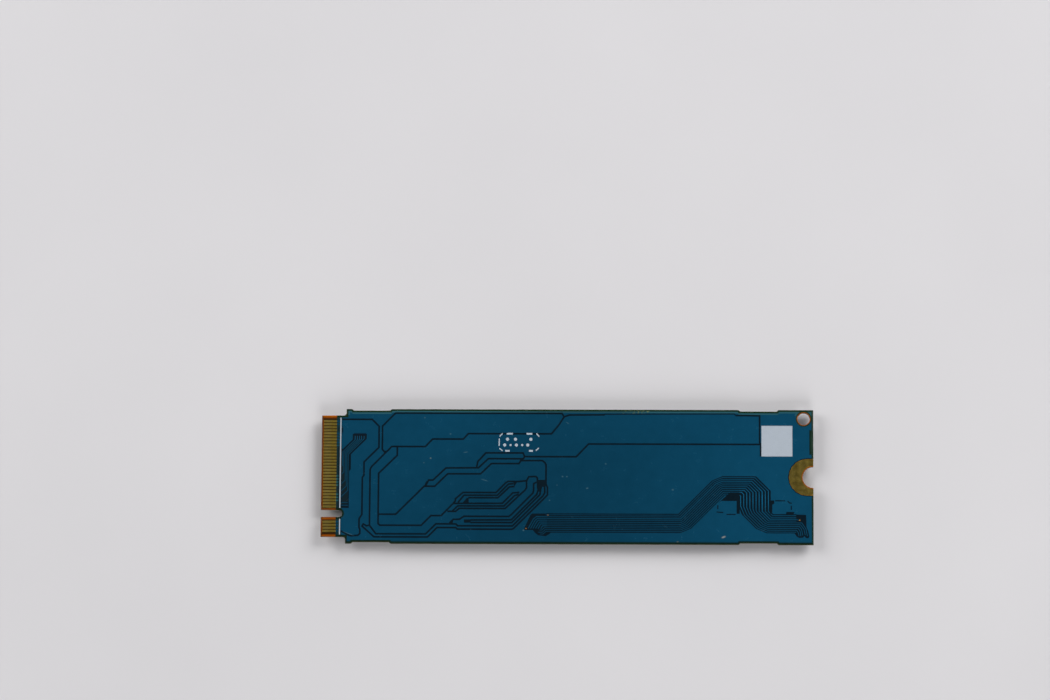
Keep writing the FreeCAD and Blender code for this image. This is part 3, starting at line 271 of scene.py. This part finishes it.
class Shade:
    """Builds one node material. Numbers and sockets can both be given as inputs."""

    def __init__(self, name, **settings):
        self.material = bpy.data.materials.new(name)
        self.material.use_nodes = True
        self.tree = self.material.node_tree
        self.shader = self.tree.nodes["Principled BSDF"]
        for key, value in settings.items():
            self.shader.inputs[key.replace("_", " ")].default_value = value
        coordinates = self.add("ShaderNodeTexCoord").outputs["Object"]
        self.place = self.vector("SCALE", coordinates, scale=1 / MM)
        self.x, self.y, self.z = self.parts(self.place)

    def add(self, kind):
        return self.tree.nodes.new(kind)

    def link(self, value, socket):
        if isinstance(value, bpy.types.NodeSocket):
            self.tree.links.new(value, socket)
        else:
            socket.default_value = value

    def set(self, name, value):
        self.link(value, self.shader.inputs[name])

    def math(self, operation, *values):
        node = self.add("ShaderNodeMath")
        node.operation = operation
        for value, socket in zip(values, node.inputs):
            self.link(value, socket)
        return node.outputs[0]

    def vector(self, operation, *values, scale=None):
        node = self.add("ShaderNodeVectorMath")
        node.operation = operation
        for value, socket in zip(values, node.inputs):
            self.link(value, socket)
        if scale is not None:
            self.link(scale, node.inputs["Scale"])
        return node.outputs["Value" if operation in ("LENGTH", "DISTANCE") else "Vector"]

    def parts(self, value):
        """The three parts of a vector."""
        split = self.add("ShaderNodeSeparateXYZ")
        self.link(value, split.inputs[0])
        return split.outputs

    def times(self, *values):
        result = values[0]
        for value in values[1:]:
            result = self.math("MULTIPLY", result, value)
        return result

    def most(self, *values):
        result = values[0]
        for value in values[1:]:
            result = self.math("MAXIMUM", result, value)
        return result

    def without(self, value):
        """What a share leaves of 1."""
        return self.math("SUBTRACT", 1.0, value)

    def ramp(self, value, start, end, low=0.0, high=1.0):
        """Runs from low to high while the value runs from start to end."""
        node = self.add("ShaderNodeMapRange")
        for item, socket in zip((value, start, end, low, high), node.inputs):
            self.link(item, socket)
        return node.outputs[0]

    def above(self, value, limit, soft):
        """1 above a limit, with a soft step."""
        return self.ramp(value, limit - soft, limit + soft)

    def below(self, value, limit, soft):
        """1 below a limit, with a soft step."""
        return self.ramp(value, limit - soft, limit + soft, 1.0, 0.0)

    def inside(self, value, low, high, soft=0.05):
        """1 between two limits, with soft ends."""
        return self.times(self.above(value, low, soft), self.below(value, high, soft))

    def box(self, x_range, y_range, soft=0.05):
        """1 in a rectangle of the card, with soft sides."""
        return self.times(
            self.inside(self.x, *x_range, soft), self.inside(self.y, *y_range, soft)
        )

    def vary(self, noise, low, high):
        """Noise as a number between two limits."""
        return self.ramp(noise, *NOISE_RANGE, low, high)

    def where(self, zone, factor):
        """A factor in a zone, and 1 outside it."""
        return self.ramp(zone, 0.0, 1.0, 1.0, factor)

    def mix(self, share, first, second):
        node = self.add("ShaderNodeMix")
        node.data_type = "RGBA"
        self.link(share, node.inputs["Factor"])
        for value, index in zip((first, second), MIX_COLOURS):
            if isinstance(value, tuple):
                value = (*value, 1.0)
            self.link(value, node.inputs[index])
        return node.outputs[MIX_RESULT]

    def tint(self, colour, strength):
        """Colour made lighter or darker by a number."""
        if isinstance(colour, tuple):
            colour = self.mix(0.0, colour, colour)
        return self.vector("SCALE", colour, scale=strength)

    def noise(self, scale, detail=2.0, stretch=(1.0, 1.0, 1.0), roughness=0.5):
        """Noise with that many features to a millimetre."""
        node = self.add("ShaderNodeTexNoise")
        self.link(self.vector("MULTIPLY", self.place, stretch), node.inputs["Vector"])
        node.inputs["Scale"].default_value = scale
        node.inputs["Detail"].default_value = detail
        node.inputs["Roughness"].default_value = roughness
        return node.outputs["Fac"]

    def distance(self, x, y):
        """Distance from an upright line through a point of the card."""
        flat = self.vector("MULTIPLY", self.place, (1.0, 1.0, 0.0))
        return self.vector("DISTANCE", flat, (x, y, 0.0))

    def streak(self, x, y, length, width, angle):
        """1 inside a small oval mark on the card."""
        centred = self.vector("SUBTRACT", self.place, (x, y, 0.0))
        turn = self.add("ShaderNodeVectorRotate")
        turn.rotation_type = "Z_AXIS"
        turn.inputs["Angle"].default_value = -math.radians(angle)
        self.link(centred, turn.inputs["Vector"])
        shape = (2.0 / length, 2.0 / width, 0.0)
        scaled = self.vector("MULTIPLY", turn.outputs[0], shape)
        return self.ramp(self.vector("LENGTH", scaled), 0.5, 1.2, 1.0, 0.0)

    def bump(self, height, strength):
        node = self.add("ShaderNodeBump")
        node.inputs["Strength"].default_value = strength
        node.inputs["Distance"].default_value = BUMP_DEPTH
        self.link(height, node.inputs["Height"])
        self.set("Normal", node.outputs[0])

    def finish(self, colour):
        self.set("Base Color", colour)
        return self.material


def near_outline(shade, reach):
    """1 on the strip along the card's edges and round its key notch and tooling hole."""
    across = shade.math("ABSOLUTE", shade.y)
    recessed = shade.most(*[shade.inside(shade.x, *span, 0.15) for span in RECESSES])
    edge = shade.math("SUBTRACT", HALF_WIDTH - reach, shade.times(recessed, RECESS_DEPTH))
    long_sides = shade.math("GREATER_THAN", across, edge)
    screw_end = shade.above(shade.x, HALF_LENGTH - reach, 0.02)
    tongue = shade.times(
        shade.math("LESS_THAN", shade.x, TONGUE_END + reach),
        shade.math("GREATER_THAN", across, TONGUE_HALF - reach),
    )
    key_along = shade.math("MAXIMUM", shade.math("SUBTRACT", shade.x, KEY_END), 0.0)
    key_across = shade.math("SUBTRACT", shade.y, KEY_Y)
    squares = shade.math(
        "ADD", shade.times(key_along, key_along), shade.times(key_across, key_across)
    )
    key = shade.math("LESS_THAN", shade.math("SQRT", squares), KEY_HALF + reach)
    from_hole = shade.distance(*TOOLING)
    hole = shade.ramp(from_hole, TOOLING_RADIUS + reach, TOOLING_RADIUS, 0.0, 1.0)
    hole = shade.math("GREATER_THAN", hole, 0.0)
    return shade.most(long_sides, screw_end, tongue, key, hole)


def comb_zone(shade):
    """1 on the comb of signal traces by the contacts."""
    along_diagonal = shade.math("SUBTRACT", shade.x, shade.y)
    diagonal = shade.times(
        shade.inside(along_diagonal, *COMB_DIAGONAL, 0.1),
        shade.inside(shade.y, *COMB_DIAGONAL_Y, 0.1),
    )
    return shade.most(diagonal, shade.box(*COMB_TEETH, 0.1), shade.box(*COMB_BODY, 0.1))


def covered_copper(shade, mottle, fine):
    """Colour of the mask over copper."""
    # Cloudy tone, and painted light: up to 1.13 times lighter towards the screw end.
    level = shade.times(
        shade.vary(shade.noise(0.05, 3.0), 0.93, 1.07),
        shade.vary(mottle, 0.95, 1.05),
        shade.vary(fine, 0.96, 1.04),
        shade.ramp(shade.x, 0.0, HALF_LENGTH, 1.0, 1.13),
    )
    # Painted shade: the middle of the lower half is made darker.
    centred = shade.vector("SUBTRACT", shade.place, (*SHADOW_CENTRE, 0.0))
    shape = (1 / SHADOW_REACH[0], 1 / SHADOW_REACH[1], 0.0)
    centred = shade.vector("MULTIPLY", centred, shape)
    shadow = shade.ramp(shade.vector("LENGTH", centred), 0.0, 1.0, 0.73, 1.0)
    colour = shade.tint(OVER_COPPER, shade.times(level, shadow))
    # The pours' edges catch the light along the upper side, most of all near its ends, and
    # lie in the dark along the lower one.
    rim = shade.times(
        near_outline(shade, POUR_SETBACK + RIM_WIDTH),
        shade.ramp(shade.y, *UPPER_RIM_Y, 0.0, 0.9),
    )
    light = shade.times(
        shade.ramp(shade.x, -12.0, -2.0, 1.28, 0.85),
        shade.ramp(shade.x, 8.5, 13.0, 1.0, 1.4),
    )
    colour = shade.mix(rim, colour, shade.tint(UPPER_RIM, light))
    lower_rim = shade.times(shade.inside(shade.y, *LOWER_RIM_Y, 0.06), 0.6)
    return shade.mix(lower_rim, colour, LOWER_RIM)


def etched_film(shade, mottle, strip, leads, roots, comb):
    """Colour of the mask in the etched gaps, and green along the card's edges."""
    gap = shade.mix(mottle, *GAP)
    gap = shade.mix(strip, gap, GAP_BY_CONTACTS)
    gap = shade.mix(leads, gap, shade.mix(roots, *GAP_BETWEEN_LEADS))
    # Bare laminate shows through greyer between the comb's close traces.
    gap = shade.mix(shade.times(comb, 0.85), gap, GAP_IN_COMB)
    # Painted light: the strip runs from dark at the lower long edge to light at the upper.
    green = shade.mix(shade.ramp(shade.y, -8.0, 9.0), *LONG_EDGES)
    end_green = shade.mix(shade.ramp(shade.y, 2.0, 5.0), *SCREW_END)
    green = shade.mix(shade.ramp(shade.x, *SCREW_END_X), green, end_green)
    weave = shade.noise(2.2, 3.0, (1.0, 0.35, 1.0))
    green = shade.tint(green, shade.vary(weave, 0.75, 1.3))
    edges = shade.most(
        near_outline(shade, POUR_SETBACK + GREEN_WIDTH),
        shade.times(shade.box(*BY_SQUARE, 0.12), 0.8),
    )
    return shade.mix(edges, gap, green)


def bare_pattern(shade, over_copper, film, comb):
    """The bare side's pattern, read from the level of the mask, with the marks on it."""
    raised = shade.ramp(shade.z, FILM_TOP + LEVEL_MARGIN, MASK_TOP - LEVEL_MARGIN)
    # Upright traces: 1.8 times lighter, partly thinner mask and partly painted highlight.
    upright = shade.times(
        shade.inside(shade.x, *UPRIGHT_TRACES_X, 0.1),
        shade.inside(shade.y, *UPRIGHT_TRACES_Y, 0.8),
    )
    teeth = shade.box(*BRIGHT_TEETH, 0.08)
    for zone, factor in ((upright, 1.8), (comb, 0.90), (teeth, 1.5)):
        over_copper = shade.tint(over_copper, shade.where(zone, factor))
    film = shade.mix(teeth, film, GAP_IN_TEETH)
    colour = shade.mix(raised, film, over_copper)
    colour = shade.mix(shade.times(shade.box(*COMB_TOP, 0.06), 0.75), colour, DARK)

    crumbs = shade.times(
        shade.box(*CRUMBS, 0.15), shade.ramp(shade.noise(3.4, 4.0), 0.55, 0.62)
    )
    colour = shade.mix(crumbs, colour, CRUMB)
    for (along, across), length, width, angle, ink in MARKS:
        spot = shade.streak(along - HALF_LENGTH, across - HALF_WIDTH, length, width, angle)
        ragged = shade.ramp(shade.noise(7.0, 2.0), 0.35, 0.6, 0.55, 1.0)
        colour = shade.mix(shade.times(spot, ragged), colour, ink)
    # There is less dust towards the screw end.
    dust = shade.times(
        shade.ramp(shade.noise(1.9, 1.0), 0.80, 0.84, 0.0, 0.14),
        shade.ramp(shade.x, 5.0, 20.0, 1.0, 0.4),
    )
    return shade.mix(dust, colour, PALE)


def bus_gaps(shade):
    """1 in the fine gaps of the trace bundles that join the packages."""
    zones = shade.most(*[shade.box(span, (-half, half), 0.04) for span, half in BUSES])
    step = shade.math("FRACT", shade.times(shade.y, 1 / BUS_PITCH))
    some = shade.ramp(shade.noise(0.9, 2.0, (0.0, 1.0, 0.0)), 0.44, 0.46)
    return shade.times(zones, shade.times(shade.inside(step, *BUS_GAP, 0.06), some))


def plated_holes(shade, colour):
    """Scattered plated holes, closed by the mask, over a colour."""
    cells = shade.add("ShaderNodeTexVoronoi")
    cells.voronoi_dimensions = "2D"
    cells.inputs["Scale"].default_value = 1 / HOLE_SPACING
    cells.inputs["Randomness"].default_value = 0.7
    shade.link(shade.place, cells.inputs["Vector"])
    distance = shade.times(cells.outputs["Distance"], HOLE_SPACING)
    inland = shade.without(near_outline(shade, POUR_SETBACK + HOLE_MARGIN))
    some = shade.times(shade.ramp(shade.noise(0.35, 2.0), 0.50, 0.53), inland)
    for limits, tone in ((RING_RADIUS, HOLE_RING), (HOLE_RADIUS, HOLE)):
        colour = shade.mix(shade.times(some, shade.ramp(distance, *limits)), colour, tone)
    return colour


def component_pattern(shade, over_copper, film):
    """The component side: copper everywhere but in the bundles' gaps, with plated holes."""
    inland = shade.without(near_outline(shade, POUR_SETBACK))
    raised = shade.times(inland, shade.without(bus_gaps(shade)))
    return plated_holes(shade, shade.mix(raised, film, over_copper))


def solder_mask(name, bare_side):
    """Blue mask: light over copper, dark in the etched gaps, green along the cut edges."""
    shade = Shade(name, Roughness=0.25, IOR=1.5, Specular_IOR_Level=0.18)
    mottle = shade.noise(0.55, 4.0, roughness=0.6)
    fine = shade.noise(6.0, 3.0)
    strip = shade.below(shade.x, ETCHED_STRIP_END, 0.05)
    leads = shade.times(strip, shade.inside(shade.y, *LEADS_Y, 0.15))
    roots = shade.ramp(shade.x, *LEAD_ROOTS, 1.0, 0.0)
    comb = comb_zone(shade)
    over_copper = covered_copper(shade, mottle, fine)
    film = etched_film(shade, mottle, strip, leads, roots, comb)
    if bare_side:
        # The leads of the middle contacts are greener at their roots.
        over_copper = shade.mix(leads, over_copper, shade.mix(roots, *LEADS))
        colour = bare_pattern(shade, over_copper, film, comb)
        shade.set("Roughness", shade.ramp(mottle, 0.2, 0.8, 0.22, 0.29))
    else:
        colour = component_pattern(shade, over_copper, film)
    shade.bump(shade.math("ADD", fine, mottle), 0.25)
    return shade.finish(colour)


def laminate():
    """Glass-fibre laminate, orange where it is bare and darker between the contacts."""
    shade = Shade("laminate", Roughness=0.6, IOR=1.5, Specular_IOR_Level=0.06)
    threads = shade.noise(3.0, 2.0, (0.25, 2.2, 1.0))
    bare = shade.mix(shade.noise(0.9, 4.0), *BARE_LAMINATE)
    bare = shade.tint(bare, shade.vary(threads, 0.8, 1.12))
    # Painted shade between the contacts, and a painted shadow beside the outermost ones.
    groups = (UPPER_FINGERS, LOWER_FINGERS)
    between = shade.most(*[shade.box(SHADE_BETWEEN_X, group, 0.05) for group in groups])
    bare = shade.mix(between, bare, SHADE_BETWEEN_CONTACTS)
    beside = shade.most(*[shade.inside(shade.y, *span, 0.04) for span in SHADOW_BESIDE_Y])
    beside = shade.times(beside, shade.inside(shade.x, *SHADOW_BESIDE_X, 0.05))
    bare = shade.mix(beside, bare, SHADOW_BESIDE_CONTACTS)
    bare = shade.tint(bare, shade.ramp(shade.x, *BEVEL_X, 0.62, 1.0))
    # The border beyond the outermost contacts gets brighter outwards, less so at the lower
    # side.
    across = shade.math("ABSOLUTE", shade.y)
    border = shade.times(
        shade.math("LESS_THAN", shade.x, FINGERS_X[1]),
        shade.math("GREATER_THAN", across, BORDER_FROM),
    )
    bare = shade.mix(border, bare, shade.tint(bare, shade.ramp(across, *BORDER, 0.25, 1.6)))
    bare = shade.tint(bare, shade.ramp(shade.y, *LOWER_BORDER_Y, 0.78, 1.0))
    # Behind the contacts only a hair's breadth of it shows beside the mask, stained by it.
    rings = shade.most(
        shade.ramp(shade.distance(*TOOLING), *TOOLING_RING),
        shade.ramp(shade.distance(*SCREW_NOTCH), *SCREW_RING),
    )
    # Painted light: the rings are 1.7 times lighter, as if lit through from behind.
    bare = shade.tint(bare, shade.where(rings, 1.7))
    stained = shade.times(shade.above(shade.x, FINGERS_X[1], 0.05), shade.without(rings))
    bare = shade.mix(stained, bare, STAINED_LAMINATE)
    # Its routed sides show the layers of cloth.
    layers = shade.math("SINE", shade.times(shade.z, 2 * math.pi / CLOTH_LAYER))
    ragged = shade.times(shade.noise(2.5, 4.0, (1.0, 1.0, 3.0)), 1.6)
    layered = shade.ramp(shade.math("ADD", layers, ragged), -0.4, 1.8)
    side = shade.mix(layered, *LAMINATE_SIDE)
    normal = shade.add("ShaderNodeNewGeometry").outputs["Normal"]
    flat = shade.math("ABSOLUTE", shade.parts(normal)[2])
    shade.bump(shade.math("ADD", threads, layered), 0.4)
    return shade.finish(shade.mix(shade.ramp(flat, 0.5, 0.8), side, bare))


def gold(name, on_contacts):
    """Thin gold over nickel, rubbed along the contacts where a socket has gripped them."""
    shade = Shade(name, Metallic=1.0)
    rubbed = shade.noise(1.6, 4.0, (0.35, 9.0, 1.0) if on_contacts else (1.0, 1.0, 1.0))
    grain = shade.noise(7.0, 3.0)
    colour = shade.mix(rubbed, *(CONTACT_GOLD if on_contacts else PAD_GOLD))
    colour = shade.tint(colour, shade.vary(grain, 0.86, 1.12))
    if on_contacts:
        worn = shade.inside(shade.x, *WORN_X, 0.25)
        colour = shade.mix(shade.times(worn, 0.30), colour, WORN_GOLD)
    else:
        specks = shade.ramp(shade.noise(4.2, 2.0), 0.60, 0.68)
        colour = shade.mix(shade.times(specks, 0.22), colour, SPECKS)
        rims = shade.most(
            shade.ramp(shade.distance(*PAD_CENTRE), *PAD_OUTER_RIM),
            shade.ramp(shade.distance(*SCREW_NOTCH), *PAD_INNER_RIM),
        )
        colour = shade.mix(shade.times(rims, 0.75), colour, PAD_RIMS)
    shade.set("Roughness", shade.vary(rubbed, 0.28, 0.38))
    shade.bump(shade.math("ADD", grain, rubbed), 0.35)
    return shade.finish(colour)


def white_print():
    """White ink with pores, thin along the rims of the square and of the line."""
    shade = Shade("print", Roughness=0.6, Specular_IOR_Level=0.3)
    pores = shade.ramp(shade.noise(9.0, 3.0), 0.30, 0.38)
    colour = shade.mix(pores, INK_PORES, shade.mix(shade.noise(1.2, 4.0), *INK))
    by_square = shade.above(shade.x, SQUARE_FROM, 0.05)
    rim = shade.times(by_square, shade.without(shade.box(*SQUARE, 0.03)))
    colour = shade.mix(shade.times(rim, 0.8), colour, SQUARE_RIM)
    rim = shade.without(shade.inside(shade.x, *LINE_CORE, 0.02))
    rim = shade.times(rim, shade.below(shade.x, LINE_TO, 0.05))
    colour = shade.mix(rim, colour, LINE_RIM)
    shade.bump(shade.noise(5.0, 3.0), 0.3)
    return shade.finish(colour)


def copper():
    shade = Shade("copper", Metallic=1.0, Roughness=0.4)
    shade.bump(shade.noise(8.0, 2.0), 0.3)
    return shade.finish(shade.mix(shade.noise(1.5, 4.0), *COPPER))


def land_film():
    """Mask that ran thin over the copper round the small parts."""
    shade = Shade("land_film", Roughness=0.3, Specular_IOR_Level=0.3)
    cloudy = shade.noise(3.0, 3.0)
    shade.bump(cloudy, 0.2)
    return shade.finish(shade.mix(cloudy, *LAND_FILM))


def solder():
    shade = Shade("solder", Metallic=1.0)
    cloudy = shade.noise(4.0, 4.0)
    shade.set("Roughness", shade.vary(cloudy, 0.24, 0.42))
    shade.bump(shade.noise(9.0, 3.0), 0.5)
    return shade.finish(shade.mix(cloudy, *SOLDER))


def moulding(name, nodes, substrate_level):
    """Black compound with a fine grain, a green substrate and a pin mark on each chip."""
    shade = Shade(name, Roughness=0.62, Specular_IOR_Level=0.4)
    grain = shade.noise(14.0, 3.0)
    colour = shade.mix(shade.noise(0.5, 3.0), *MOULDING)
    colour = shade.tint(colour, shade.vary(grain, 0.75, 1.3))
    for node in nodes:
        low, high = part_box(node)
        inset = min(PIN_INSET_MOST, (high.x - low.x) / MM * PIN_INSET)
        radius = inset * PIN_RADIUS
        from_mark = shade.distance(low.x / MM + inset, high.y / MM - inset)
        mark = shade.ramp(from_mark, radius, radius + PIN_SOFT_RIM, 0.55, 0.0)
        colour = shade.mix(mark, colour, PIN_MARK)
    if substrate_level is not None:
        substrate = shade.above(shade.z, substrate_level, 0.005)
        colour = shade.mix(substrate, colour, shade.mix(grain, *SUBSTRATE))
    shade.bump(shade.math("ADD", grain, shade.noise(30.0, 2.0)), 0.55)
    return shade.finish(colour)


def ceramic():
    shade = Shade("capacitor_ceramic", Roughness=0.5)
    shade.bump(shade.noise(12.0, 3.0), 0.3)
    return shade.finish(shade.mix(shade.noise(2.5, 4.0), *CERAMIC))


def resistor_film():
    """White ceramic with a black film on the side away from the card."""
    shade = Shade("resistor_film", Roughness=0.35)
    cloudy = shade.noise(3.0, 3.0)
    shade.bump(shade.noise(10.0, 2.0), 0.25)
    body = shade.above(shade.z, RESISTOR_LEVEL, 0.01)
    film = shade.mix(cloudy, *RESISTOR_FILM)
    return shade.finish(shade.mix(body, film, shade.mix(cloudy, *RESISTOR_BODY)))


def ferrite():
    shade = Shade("ferrite", Roughness=0.7)
    grain = shade.noise(9.0, 4.0)
    shade.bump(grain, 0.7)
    return shade.finish(shade.mix(grain, *FERRITE))


def crystal_lid():
    """Brushed lid, with a band of dark ceramic between it and the card."""
    shade = Shade("crystal_lid")
    brushed = shade.noise(3.0, 3.0, (0.3, 6.0, 1.0))
    shade.set("Roughness", shade.vary(brushed, 0.28, 0.45))
    shade.bump(brushed, 0.3)
    band = shade.above(shade.z, CRYSTAL_LEVEL, 0.01)
    shade.set("Metallic", shade.without(band))
    return shade.finish(shade.mix(band, shade.mix(brushed, *CRYSTAL_LID), CRYSTAL_BAND))


def fuse_glass():
    shade = Shade("fuse_glass", Roughness=0.25)
    cloudy = shade.noise(2.5, 3.0)
    shade.bump(cloudy, 0.2)
    return shade.finish(shade.mix(cloudy, *FUSE_GLASS))


def dress_nodes():
    """Gives every CAD node its finished material."""
    packages = ("controller", "memory", "flash_1", "flash_2")
    small_chips = (
        "power_management_chip", "load_switch", "temperature_sensor", "boot_flash_chip",
    )
    finishes = {
        laminate(): ("board",),
        copper(): ("bare_side_copper",),
        land_film(): ("component_side_copper",),
        solder_mask("solder_mask", True): ("bare_side_solder_mask",),
        solder_mask("component_solder_mask", False): ("component_side_solder_mask",),
        gold("gold_contacts", True): ("bare_side_contacts", "component_side_contacts"),
        gold("gold_pads", False): ("bare_side_ground_pad", "component_side_ground_pad"),
        white_print(): ("bare_side_print", "component_side_print"),
        moulding("moulding_packages", packages, SUBSTRATE_LEVEL): packages,
        moulding("moulding_chips", small_chips, None): small_chips,
        MATERIALS["solder"]: (
            "controller_balls", "memory_balls", "flash_1_balls", "flash_2_balls",
            "large_capacitor_end_caps", "small_capacitor_end_caps", "resistor_end_caps",
            "fuse_end_caps",
        ),
        ceramic(): ("large_capacitor_bodies", "small_capacitor_bodies"),
        resistor_film(): ("resistor_bodies",),
        ferrite(): ("inductor_1", "inductor_2", "inductor_3"),
        MATERIALS["crystal_lid"]: ("crystal",),
        fuse_glass(): ("fuse_bodies",),
    }
    for material, nodes in finishes.items():
        for node in nodes:
            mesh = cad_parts[node].data
            mesh.materials.clear()
            mesh.materials.append(material)


def blocks(node):
    """Lowest and highest corner of each separate solid of a node, in millimetres."""
    mesh = bmesh.new()
    mesh.from_mesh(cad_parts[node].data)
    bmesh.ops.remove_doubles(mesh, verts=mesh.verts, dist=1e-7)
    left = set(mesh.verts)
    found = []
    for start in mesh.verts:
        if start not in left:
            continue
        left.discard(start)
        members = [start]
        for vertex in members:
            for edge in vertex.link_edges:
                other = edge.other_vert(vertex)
                if other in left:
                    left.discard(other)
                    members.append(other)
        corners = [vertex.co / MM for vertex in members]
        found.append(tuple(
            Vector([pick(corner[axis] for corner in corners) for axis in range(3)])
            for pick in (min, max)
        ))
    mesh.free()
    return found


def add_object(name, data):
    item = bpy.data.objects.new(name, data)
    bpy.context.scene.collection.objects.link(item)
    return item


def add_piece(name, builder, material):
    """Turns a mesh built in millimetres into a piece of the drive."""
    bmesh.ops.recalc_face_normals(builder, faces=builder.faces)
    bmesh.ops.scale(builder, verts=builder.verts, vec=(MM, MM, MM))
    mesh = bpy.data.meshes.new(name)
    builder.to_mesh(mesh)
    builder.free()
    mesh.materials.append(material)
    piece = add_object(name, mesh)
    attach(piece, "root")


def add_fillet(builder, foot, out, width, rise):
    """Concave wedge of solder on its land, up the side of a part and away from the card."""
    side = Vector((-out.y, out.x, 0.0))
    curve = [(away * FILLET_REACH, up * rise) for away, up in FILLET_CURVE]
    land = [(-SINK, -SINK), (FILLET_REACH, -SINK), (FILLET_REACH, 0.0)]
    profile = [*land, *curve, (-SINK, rise)]
    rings = []
    for half in (-width / 2, width / 2):
        ring = []
        for away, up in profile:
            narrowing = 1.0 - FILLET_NARROWING * max(up, 0.0) / rise
            spot = foot + out * away + side * half * narrowing
            ring.append(builder.verts.new((spot.x, spot.y, SEAT - up)))
        rings.append(ring)
    for index in range(len(profile)):
        after = (index + 1) % len(profile)
        face = builder.faces.new(
            (rings[0][index], rings[0][after], rings[1][after], rings[1][index])
        )
        face.smooth = index in SMOOTH_FACES
    for ring in rings:
        builder.faces.new(ring)


def add_cap_fillets():
    """Solder at the outer end of every end cap."""
    builder = bmesh.new()
    for node in ("large_capacitor_end_caps", "small_capacitor_end_caps",
                 "resistor_end_caps", "fuse_end_caps"):
        caps = blocks(node)
        centres = [(low + high) / 2 for low, high in caps]
        for (low, high), centre in zip(caps, centres):
            partner = min((other for other in centres if other is not centre),
                          key=lambda other: (other - centre).length)
            out = (centre - partner).normalized()
            half = (high - low) / 2
            foot = Vector((centre.x + out.x * half.x, centre.y + out.y * half.y, 0.0))
            width = 2 * (abs(out.y) * half.x + abs(out.x) * half.y) - CAP_MARGIN
            add_fillet(builder, foot, out, width, CAP_RISE * 2 * half.z)
    add_piece("cap_solder_fillets", builder, MATERIALS["solder"])


def add_terminals():
    """Soldered terminals along the sides of the chips, the crystal and the inductors."""
    builder = bmesh.new()
    for node, directions, count, pitch, width, rise in TERMINALS:
        low, high = (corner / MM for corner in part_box(node))
        centre = (low + high) / 2
        for out in directions:
            out = Vector((*out, 0.0))
            side = Vector((-out.y, out.x, 0.0))
            edge = Vector((centre.x + out.x * (high.x - low.x) / 2,
                           centre.y + out.y * (high.y - low.y) / 2, 0.0))
            for index in range(count):
                foot = edge + side * (index - (count - 1) / 2) * pitch
                add_fillet(builder, foot, out, width, rise)
    add_piece("chip_terminals", builder, MATERIALS["solder"])


def add_crystal_plate():
    """Raised plate with round corners on the crystal's lid."""
    low, high = (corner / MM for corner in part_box("crystal"))
    builder = bmesh.new()
    rings = []
    for inset, level in PLATE_RINGS:
        ring = []
        for corner, (toward_x, toward_y) in enumerate(((1, 1), (-1, 1), (-1, -1), (1, -1))):
            margin = inset + PLATE_ROUNDING
            middle_x = (high.x if toward_x > 0 else low.x) - toward_x * margin
            middle_y = (high.y if toward_y > 0 else low.y) - toward_y * margin
            for step in range(PLATE_CORNER_STEPS + 1):
                angle = math.radians(90 * (corner + step / PLATE_CORNER_STEPS))
                ring.append(builder.verts.new((
                    middle_x + PLATE_ROUNDING * math.cos(angle),
                    middle_y + PLATE_ROUNDING * math.sin(angle), low.z + level,
                )))
        rings.append(ring)
    for lower, upper in zip(rings, rings[1:]):
        for index, vertex in enumerate(lower):
            after = (index + 1) % len(lower)
            builder.faces.new((vertex, lower[after], upper[after], upper[index]))
    builder.faces.new(rings[0])
    builder.faces.new(rings[-1])
    add_piece("crystal_lid_plate", builder, MATERIALS["crystal_lid"])


def make_stage():
    """Pale floor under the drive."""
    shade = Shade("floor", Roughness=0.75, Specular_IOR_Level=0.2)
    mesh = bpy.data.meshes.new("floor")
    mesh.materials.append(shade.finish(shade.mix(shade.noise(0.02, 3.0), *FLOOR)))
    builder = bmesh.new()
    bmesh.ops.create_grid(builder, x_segments=4, y_segments=4, size=FLOOR_HALF)
    builder.to_mesh(mesh)
    builder.free()
    floor = add_object("floor", mesh)


def make_lights():
    """A dim sky that is pale at the horizon, and three large soft lamps."""
    world = bpy.data.worlds.new("studio")
    world.use_nodes = True
    tree = world.node_tree
    background = tree.nodes["Background"]
    background.inputs["Color"].default_value = SKY_COLOUR
    direction = tree.nodes.new("ShaderNodeTexCoord")
    split = tree.nodes.new("ShaderNodeSeparateXYZ")
    fade = tree.nodes.new("ShaderNodeMapRange")
    fade.interpolation_type = "SMOOTHSTEP"
    for name, value in SKY_FADE.items():
        fade.inputs[name].default_value = value
    tree.links.new(direction.outputs["Generated"], split.inputs[0])
    tree.links.new(split.outputs[2], fade.inputs[0])
    tree.links.new(fade.outputs[0], background.inputs["Strength"])
    bpy.context.scene.world = world

    for name, place, size, power in LAMPS:
        data = bpy.data.lights.new(name, "AREA")
        data.size = size
        data.energy = power
        data.color = LAMP_COLOUR
        lamp = add_object(name, data)
        lamp.location = place
        lamp.rotation_euler = (-Vector(place)).to_track_quat("-Z", "Y").to_euler()


def make_camera():
    """Long lens, looking almost straight down from a little below the lower edge."""
    data = bpy.data.cameras.new("camera")
    data.sensor_width = SENSOR_WIDTH
    data.lens = LENS
    data.clip_start, data.clip_end = CLIP
    camera = add_object("camera", data)
    camera.location = CAMERA_PLACE
    camera.rotation_euler = CAMERA_TURN
    bpy.context.scene.camera = camera


MATERIALS = {"solder": solder(), "crystal_lid": crystal_lid()}
dress_nodes()
add_cap_fillets()
add_terminals()
add_crystal_plate()
make_stage()
make_lights()
make_camera()
bpy.context.scene.view_settings.view_transform = "Standard"
